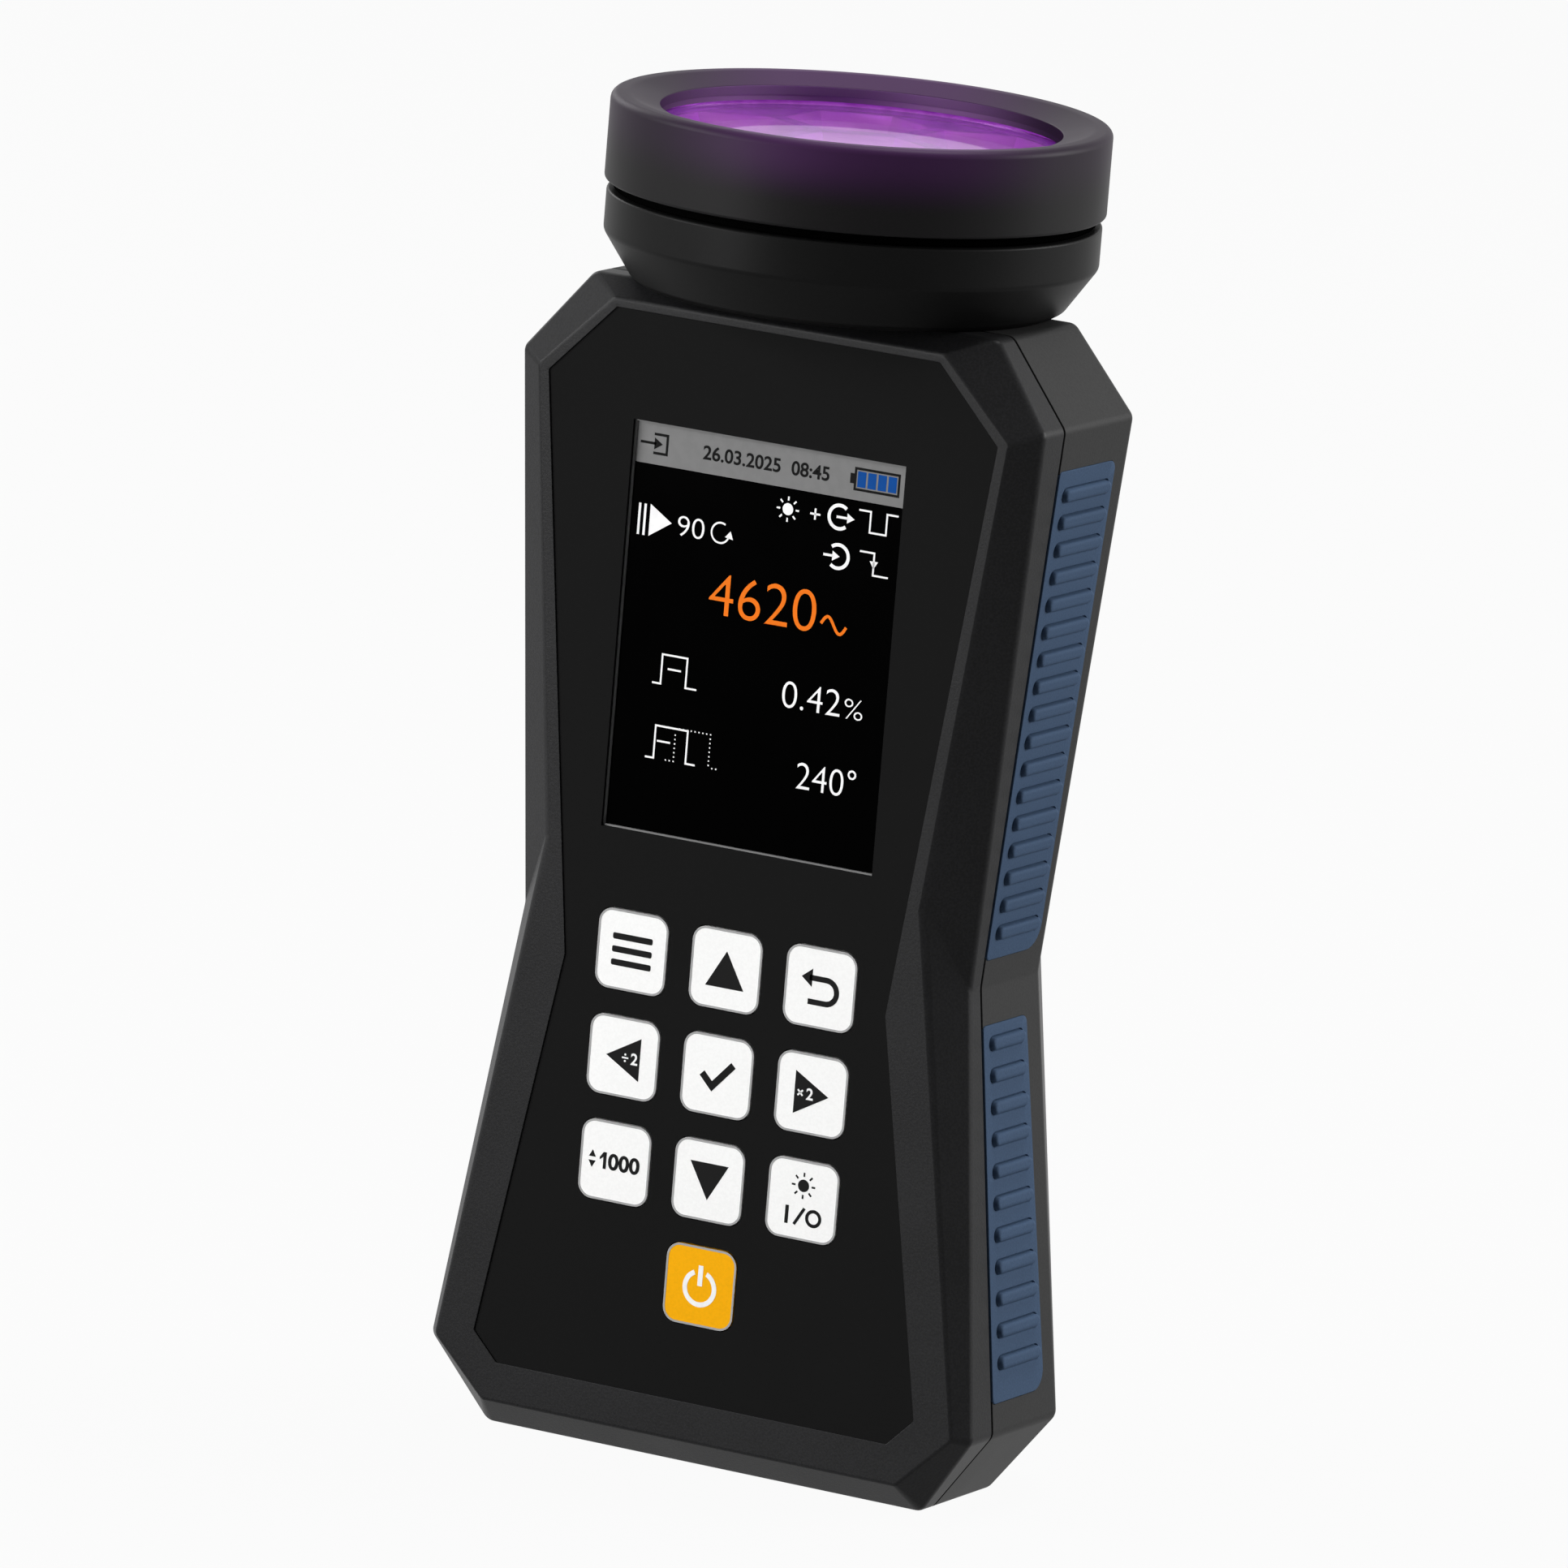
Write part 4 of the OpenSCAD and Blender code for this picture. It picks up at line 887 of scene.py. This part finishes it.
bowlScrews = {"x": 20.5, "y": 5, "radius": 1.0, "heights": (185, 190)}
glass = {"radius": 33.8, "low": 209.75, "top": 211.75, "dish": 1.1, "hollow": 31.2, "seat": 31.6,
         "steps": 12}


def profile(corners):
    path = rounded([Vector((r, z)) for r, z, _ in corners], [corner[2] for corner in corners])
    return [(p.x, p.y) for p in path]


def lampBowl():
    bowl = makeObject("lampBowl", lathe(profile(head["bowl"])), ["bowlPlastic"])
    holes = Shape()
    for x in (-bowlScrews["x"], bowlScrews["x"]):
        for y in (-bowlScrews["y"], bowlScrews["y"]):
            hole = circle(bowlScrews["radius"], facets["mark"], x, y)
            holes.add(*loft(upright(hole, bowlScrews["heights"])))
    carve(bowl, holes)
    addPiece("lampBowl", bowl, None, "lamp_shell", stands=["lamp_housing"])


def paint(shape, path, chosen):  # second finish for the bands that start at the chosen corners
    count = facets["turned"]
    for k, (r, z) in enumerate(path):
        if chosen(r, z):
            shape.finishes[k * count:(k + 1) * count] = [1] * count


def lampRim():
    path = profile(head["bumper"])
    bumper = lathe(path)
    wide, top = head["opening"]
    # the wall inside the opening gets the rubber's copy with painted violet lamp light
    paint(bumper, path, lambda r, z: r < wide and z < top)
    addPiece("lampBumper", bumper, ["bumperRubber", "rimWallWithPaintedGlow"], "bumper", stands=["lamp_bumper"])


def frontGlass():  # an evenly thick dished pane with a seat rim, whose edge catches the lamps' light
    wide = glass["radius"]
    low = glass["low"]
    inner = glass["hollow"]
    shares = [k / glass["steps"] for k in range(glass["steps"] + 1)]
    dished = [(wide * k, glass["top"] - glass["dish"] * (1 - k * k)) for k in shares]
    hollow = [(inner * k, low + glass["dish"] * (inner * k / wide) ** 2) for k in shares]
    path = hollow + [(glass["seat"], low), (wide, low)] + dished[::-1]
    pane = lathe(path)
    paint(pane, path, lambda r, z: r == wide and z == low)
    addPiece("frontGlass", pane, ["violetGlass", "litEdge"], "lens", stands=["front_glass"])


def lampSeal():
    seal = lathe(profile(head["seal"]))
    # black rubber, darkened further as painted shade of the groove
    addPiece("lampSeal", seal, ["sealRubberAndShade"], "seal", stands=["lamp_seal"])


cups = {"ring": 22.5, "apothem": 10.1, "foot": 3.0, "low": 198.6, "top": 209.7, "plate": 33.3,
        "points": 36, "steps": 9, "roundSteps": 3, "flare": 0.62}


def cupRing(spot, k):  # round near the foot, six-sided above
    share = k / cups["steps"]
    z = cups["low"] + (cups["top"] - cups["low"]) * share
    loop = []
    for i in range(cups["points"]):
        degrees = 360 / cups["points"] * i
        reach = cups["apothem"]
        if k >= cups["roundSteps"]:
            reach /= cos(radians((degrees + 30) % 60 - 30))
        reach = cups["foot"] + (reach - cups["foot"]) * share ** cups["flare"]
        a = radians(degrees)
        loop.append(Vector((spot.x + reach * cos(a), spot.y + reach * sin(a), z)))
    return loop


def reflector():
    shape = Shape()
    edge = circle(cups["plate"], facets["wide"])
    mouths = []
    for spot in [Vector((0, 0))] + circle(cups["ring"], 6):
        rings = [cupRing(spot, k) for k in range(cups["steps"] + 1)]
        shape.add(*loft(rings, startCap=False, endCap=False))
        mouths.append((rings[0], rings[-1]))
    for number, z in ((1, cups["top"]), (0, cups["low"])):
        flat, faces = fillLoops([edge] + [[Vector((p.x, p.y)) for p in pair[number]] for pair in mouths])
        shape.add(level(flat, z), faces)
    shape.add(*loft(upright(edge, (cups["low"], cups["top"])), startCap=False, endCap=False))
    addPiece("lampCups", shape, ["litCup"], "reflector", stands=["reflector_array"], angle=25)


# Plain symbols on the keys, in mm from the middle of each key
symbols = {
    "key_menu": {"inkBlack": {"areas": [roundedBox(7.2, 1.0, 0.3, 0, v, 4) for v in (-2.1, 0, 2.1)]}},
    "key_up": {"inkBlack": {"areas": [[(-3.45, -2.9), (3.45, -2.9), (0, 3.0)]]}},
    "key_down": {"inkBlack": {"areas": [[(-3.45, 2.9), (0, -3.0), (3.45, 2.9)]]}},
    "key_left": {"inkBlack": {"areas": [[(-3.1, 0), (3.0, -3.45), (3.0, 3.45)]]}},
    "key_right": {"inkBlack": {"areas": [[(3.1, 0), (-3.0, 3.45), (-3.0, -3.45)]]}},
    "key_back": {"inkBlack": {
        "lines": [(0.9, [(-2.0, 1.45), *arc(1.1, -0.45, 1.9, 90, -90, 14), (-2.0, -2.35)])],
        "arrows": [((-3.4, 1.45), 180, 1.9, 2.9)]}},
    "key_ok": {"inkBlack": {"lines": [(1.15, [(-2.7, 0.1), (-0.8, -1.8), (2.8, 2.1)])]}},
    "key_thousand": {"inkBlack": {
        "digits": [("000", 2.7, (1.65, 0), 5.7, 0.03)],
        "areas": [[(-2.75, 0.45), (-2.1, 1.35), (-1.55, 1.35), (-1.55, -1.35), (-2.1, -1.35),
                   (-2.1, 0.55), (-2.75, 0.05)],
                  [(-4.75, 0.3), (-3.45, 0.3), (-4.1, 1.4)],
                  [(-4.75, -0.3), (-4.1, -1.4), (-3.45, -0.3)]]}},
    "key_light": {"inkBlack": {
        "lamps": [((0, 2.35), 1.0)],
        "blocks": [((-2.6, -2.6), (0.6, 2.9))],
        "lines": [(0.5, [(-1.2, -4.0), (0.5, -1.2)])],
        "rings": [((2.2, -2.6), 1.45, 0.9)]}},
    "key_power": {"inkWhite": {
        "areas": [arc(0, -0.25, 3.05, 114, 426, 36) + arc(0, -0.25, 2.25, 426, 114, 36)],
        "blocks": [((0, 1.75), (0.85, 3.3))]}},
}
# White marks on the black arrows: divide by two and times two
raised = {
    "key_left": {"inkWhite": {
        "digits": [("2", 1.9, (2.0, 0), None, 0.02)],
        "blocks": [((0.35, 0), (1.15, 0.26))],
        "areas": [circle(0.18, facets["dot"], 0.35, v) for v in (-0.52, 0.52)]}},
    "key_right": {"inkWhite": {
        "digits": [("2", 1.9, (-0.25, 0), None, 0.02)],
        "lines": [(0.3, [(-2.4, -0.45), (-1.5, 0.45)]), (0.3, [(-2.4, 0.45), (-1.5, -0.45)])]}},
}


def keyPrints():
    wide, high, r = keypad["width"], keypad["height"], keypad["radius"]
    line = keypad["outline"]
    outline = [roundedBox(wide, high, r), roundedBox(wide - 2 * line, high - 2 * line, r - line)]
    for name in keyPlaces:
        sheet = Sheet(*keySpot(name), keypad["face"], keypad["thick"])
        draw(sheet, symbols[name])
        draw(sheet, raised.get(name, {}), keypad["raised"])
        # a grey band along the edge of each key
        sheet.put(outline, "inkGrey")
        slot = "key_yellow" if name == "key_power" else "key_white"
        addPiece(name + "_print", sheet.shape, sheet.tones, slot, body=name, weighted=False)


# Display: plain numbers and standard symbols on the dark window, as places on the face
screen = {"wide": 48.8, "high": 65.0, "z": 132.6, "depth": 1.25, "thick": 0.03, "margin": 0.3,
          "bar": 158.3, "barThick": 0.02, "edge": 0.28, "edgeThick": 0.4}
pens = {"thin": 0.3, "plus": 0.32, "stem": 0.4, "door": 0.42, "wave": 0.5, "round": 0.55}
dots = {"pitch": 0.7, "size": (0.22, 0.22),  # start, way and number of each dotted run
        "runs": [((-14.4, 112.1), (1, 0), 3), ((-13.0, 112.8), (0, 1), 6), ((-12.3, 117.4), (1, 0), 9),
                 ((-6.7, 116.7), (0, -1), 7), ((-6.0, 112.1), (1, 0), 2)]}


def dotBlocks():
    step = dots["pitch"]
    return [((u + right * step * k, v + up * step * k), dots["size"])
            for (u, v), (right, up), count in dots["runs"] for k in range(count)]


displayDrawing = {
    "screenWhite": {
        "areas": [[(-20.7, 146.9), (-16.7, 149.5), (-20.7, 152.0)]],
        "blocks": [((-22.6, 149.4), (0.42, 5.0)), ((-21.6, 149.4), (0.42, 5.0))] + dotBlocks(),
        "rings": [((18.9, 115.2), 0.7614, 0.4386)],
        "lamps": [((3.7, 155.0), 0.95)],
        "arcs": [(pens["thin"], (-7.9, 149.4), 1.6, 60, 340),
                 (pens["round"], (12.9, 155.2), 1.85, 50, 310),
                 (pens["round"], (13.2, 149.0), 1.85, -130, 130)],
        "arrows": [((-6.1, 149.9), 80, 1.2, 1.5), ((15.6, 155.2), 0, 1.3, 1.6),
                   ((13.5, 149.0), 0, 1.3, 1.6), ((19.6, 148.0), -90, 1.2, 1.5)],
        "lines": [
            (pens["plus"], [(7.7, 155.0), (9.5, 155.0)]), (pens["plus"], [(8.6, 155.9), (8.6, 154.1)]),
            (pens["stem"], [(12.4, 155.2), (14.4, 155.2)]),
            (pens["stem"], [(10.6, 149.0), (12.3, 149.0)]),
            (pens["thin"], [(16.3, 156.9), (18.4, 156.9), (18.4, 153.6), (21.3, 153.6), (21.3, 156.9),
                            (23.3, 156.9)]),
            (pens["thin"], [(17.0, 150.5), (19.6, 150.5), (19.6, 147.0), (22.3, 147.0)]),
            (pens["thin"], [(-17.9, 124.0), (-16.4, 124.0), (-16.4, 128.7), (-11.9, 128.7),
                            (-11.9, 124.0), (-9.9, 124.0)]),
            (pens["thin"], [(-15.3, 126.5), (-12.9, 126.5)]),
            (pens["thin"], [(-18.1, 112.1), (-16.6, 112.1), (-16.6, 117.3), (-10.8, 117.3),
                            (-10.8, 112.1), (-9.1, 112.1)]),
            (pens["thin"], [(-16.2, 114.9), (-13.8, 114.9)])],
        "digits": [("90", 3.2, (-13.2, 149.4), 4.8, -0.012), ("0.42", 4.2, (10.6, 126.0), 10.4, -0.012),
                   ("%", 3.2, (18.2, 125.5), 3.3, -0.012), ("240", 4.2, (13.3, 113.6), 8.4, -0.012)]},
    "screenOrange": {
        "digits": [("4620", 6.6, (0.6, 139.7), 19.2, -0.01)],
        "lines": [(pens["wave"], [(11.2 + 0.25 * k, 138.1 + 1.25 * sin(k * pi / 9))
                                  for k in range(19)])]},
}
barDrawing = {
    "screenInk": {
        "lines": [(pens["door"], [(-23.4, 161.6), (-20.6, 161.6)]),
                  (pens["door"], [(-21.0, 163.1), (-18.6, 163.1), (-18.6, 160.1), (-21.0, 160.1)])],
        "arrows": [((-19.4, 161.6), 0, 1.5, 1.9)],
        "digits": [("26.03.2025", 2.3, (-5.15, 161.6), 13.9, 0.02),
                   ("08:45", 2.3, (7.15, 161.6), 6.8, 0.02)],
        "outlines": [(pens["stem"], [(15.15, 160.0), (22.9, 160.0), (22.9, 163.3), (15.15, 163.3)])],
        "blocks": [((14.6, 161.65), (0.7, 1.6))]},
    "screenBlue": {"blocks": [((16.3 + k * 1.82, 161.65), (1.5, 2.5)) for k in range(4)]},
}


def displayPrints():
    wide, high, z = screen["wide"], screen["high"], screen["z"]
    half = wide / 2 - screen["margin"]
    top = z + high / 2 - screen["margin"]
    sheet = Sheet(0, 0, screen["depth"], screen["thick"])
    sheet.put([[(-half, screen["bar"]), (half, screen["bar"]), (half, top), (-half, top)]], "screenGrey")
    draw(sheet, displayDrawing)
    sheet.lie(screen["depth"] - screen["thick"], screen["barThick"])
    draw(sheet, barDrawing)
    addPiece("displayPrint", sheet.shape, sheet.tones, "display", weighted=False)
    edge = Sheet(0, 0, screen["depth"], screen["edgeThick"])
    line = 2 * screen["edge"]
    edge.put([box(0, z, wide, high), box(0, z, wide - line, high - line)], "edgeGrey")
    addPiece("displayEdge", edge.shape, edge.tones, "display_frame", weighted=False)


dressed = {
    "panelFilm": ["front_panel"], "screenBlack": ["display_window"], "moduleMetal": ["lcd_module"],
    "blackMoulding": ["display_frame", "battery_cradle"], "matSilicone": ["keypad_mat"],
    "boardGreen": ["main_board", "driver_board"], "cellSleeve": ["battery_cells"],
    "jackPlastic": ["trigger_in_jack", "trigger_out_jack"], "plated": ["charging_socket"],
    # the bezel's violet is painted lamp light
    "bezelWithPaintedGlow": ["lamp_bezel"], "litLamp": ["leds"], "whiteMask": ["led_board"],
    "finMetal": ["heat_sink"], "screwSteel": ["housing_screws", "board_screws", "lamp_screws"],
    "keyWhite": [name for name in keyPlaces if name != "key_power"], "keyAmber": ["key_power"],
}


def dressNodes():  # solids of the model that stay get a better finish
    for one, names in dressed.items():
        for name in names:
            slots = nodes[name].data.materials
            slots.clear()
            slots.append(finish[one])


view = {"azimuth": 28.474, "height": 10.997, "roll": 4.743, "distance": 2.4636,
        "target": (0.0077, -0.0216, 0.1121), "lens": 362.6, "sensor": 36, "reach": 20}


def setCamera():
    a = radians(view["azimuth"])
    e = radians(view["height"])
    r = radians(view["roll"])
    back = Vector((sin(a) * cos(e), -cos(a) * cos(e), sin(e)))
    right = Vector((cos(a), sin(a), 0))
    up = back.cross(right)
    across = cos(r) * right + sin(r) * up
    above = cos(r) * up - sin(r) * right
    data = bpy.data.cameras.new("camera")
    data.lens = view["lens"]
    data.sensor_width = view["sensor"]
    data.clip_end = view["reach"]
    camera = bpy.data.objects.new("camera", data)
    turn = Matrix((across, above, back)).transposed().to_4x4()
    camera.matrix_world = Matrix.Translation(Vector(view["target"]) + back * view["distance"]) @ turn
    collection.objects.link(camera)
    bpy.context.scene.camera = camera


lampsAim = (0, 0, 0.11)
lamps = {
    "frontLeft": {"at": (-1.45, -1.0, 0.7), "size": 0.9, "power": 29},
    "front": {"at": (-0.9, -1.6, 0.22), "size": 0.5, "power": 18},
    "rightBack": {"at": (1.5, 1.15, 0.75), "size": 1.0, "power": 43},
    "leftBack": {"at": (-1.5, 0.9, 0.9), "size": 0.8, "power": 6.5},
    "above": {"at": (0.1, 0.35, 1.6), "size": 0.8, "power": 19},
}
worldLight = 0.02
white = (1, 1, 1, 1)


def seenRays(graph):  # 1 for what the camera sees, also through glass and in reflections
    rays = graph.node("LightPath")
    seen = graph.maths("MAXIMUM", rays["Is Camera Ray"], rays["Is Transmission Ray"])
    return graph.maths("MAXIMUM", seen, rays["Is Glossy Ray"])


def setLight():
    for name, lamp in lamps.items():
        data = bpy.data.lights.new(name, "AREA")
        data.energy = lamp["power"]
        data.size = lamp["size"]
        made = bpy.data.objects.new(name, data)
        made.location = lamp["at"]
        aim = Vector(lampsAim) - made.location
        made.rotation_euler = aim.to_track_quat("-Z", "Y").to_euler()
        collection.objects.link(made)
    world = bpy.data.worlds.new("studio")
    bpy.context.scene.world = world
    world.use_nodes = True
    graph = Graph(world.node_tree)
    strength = worldLight + seenRays(graph) * (1 - worldLight)
    sky = graph.node("Background", {}, {"Color": white, "Strength": strength})
    graph.node("OutputWorld", {}, {"Surface": sky})


paper = {"half": 6000, "grain": 900, "dark": (0.23, 0.23, 0.23), "light": (0.25, 0.25, 0.25),
         "white": 0.95, "under": 0.0002}


def setFloor():
    half = paper["half"]
    corners = [(-half, -half, 0), (half, -half, 0), (half, half, 0), (-half, half, 0)]
    floor = makeObject("floor", Shape().add(corners, [[0, 1, 2, 3]]))
    material, graph = newGraph("floorPaper")
    tone = graph.blend(graph.noise(paper["grain"]), paper["dark"], paper["light"])
    matt = graph.node("BsdfDiffuse", {}, {"Color": tone})
    glow = graph.node("Emission", {}, {"Color": white, "Strength": 1.0})
    mixed = graph.node("MixShader", {}, {0: seenRays(graph) * paper["white"], 1: matt, 2: glow})
    graph.node("OutputMaterial", {}, {"Surface": mixed})
    floor.data.materials.append(material)
    floor.location.z = -paper["under"]


setCamera()
setLight()
setFloor()
print("camera, lamps and floor set")
frontShell()
rearShell()
tripodInsert()
jackRings()
print("shells made")
gripPieces()
print("grips made")
lampBowl()
lampRim()
frontGlass()
lampSeal()
reflector()
print("lamp head made")
keyPrints()
displayPrints()
print("keys and display drawn")
dressNodes()
bpy.context.scene.view_settings.view_transform = "Standard"
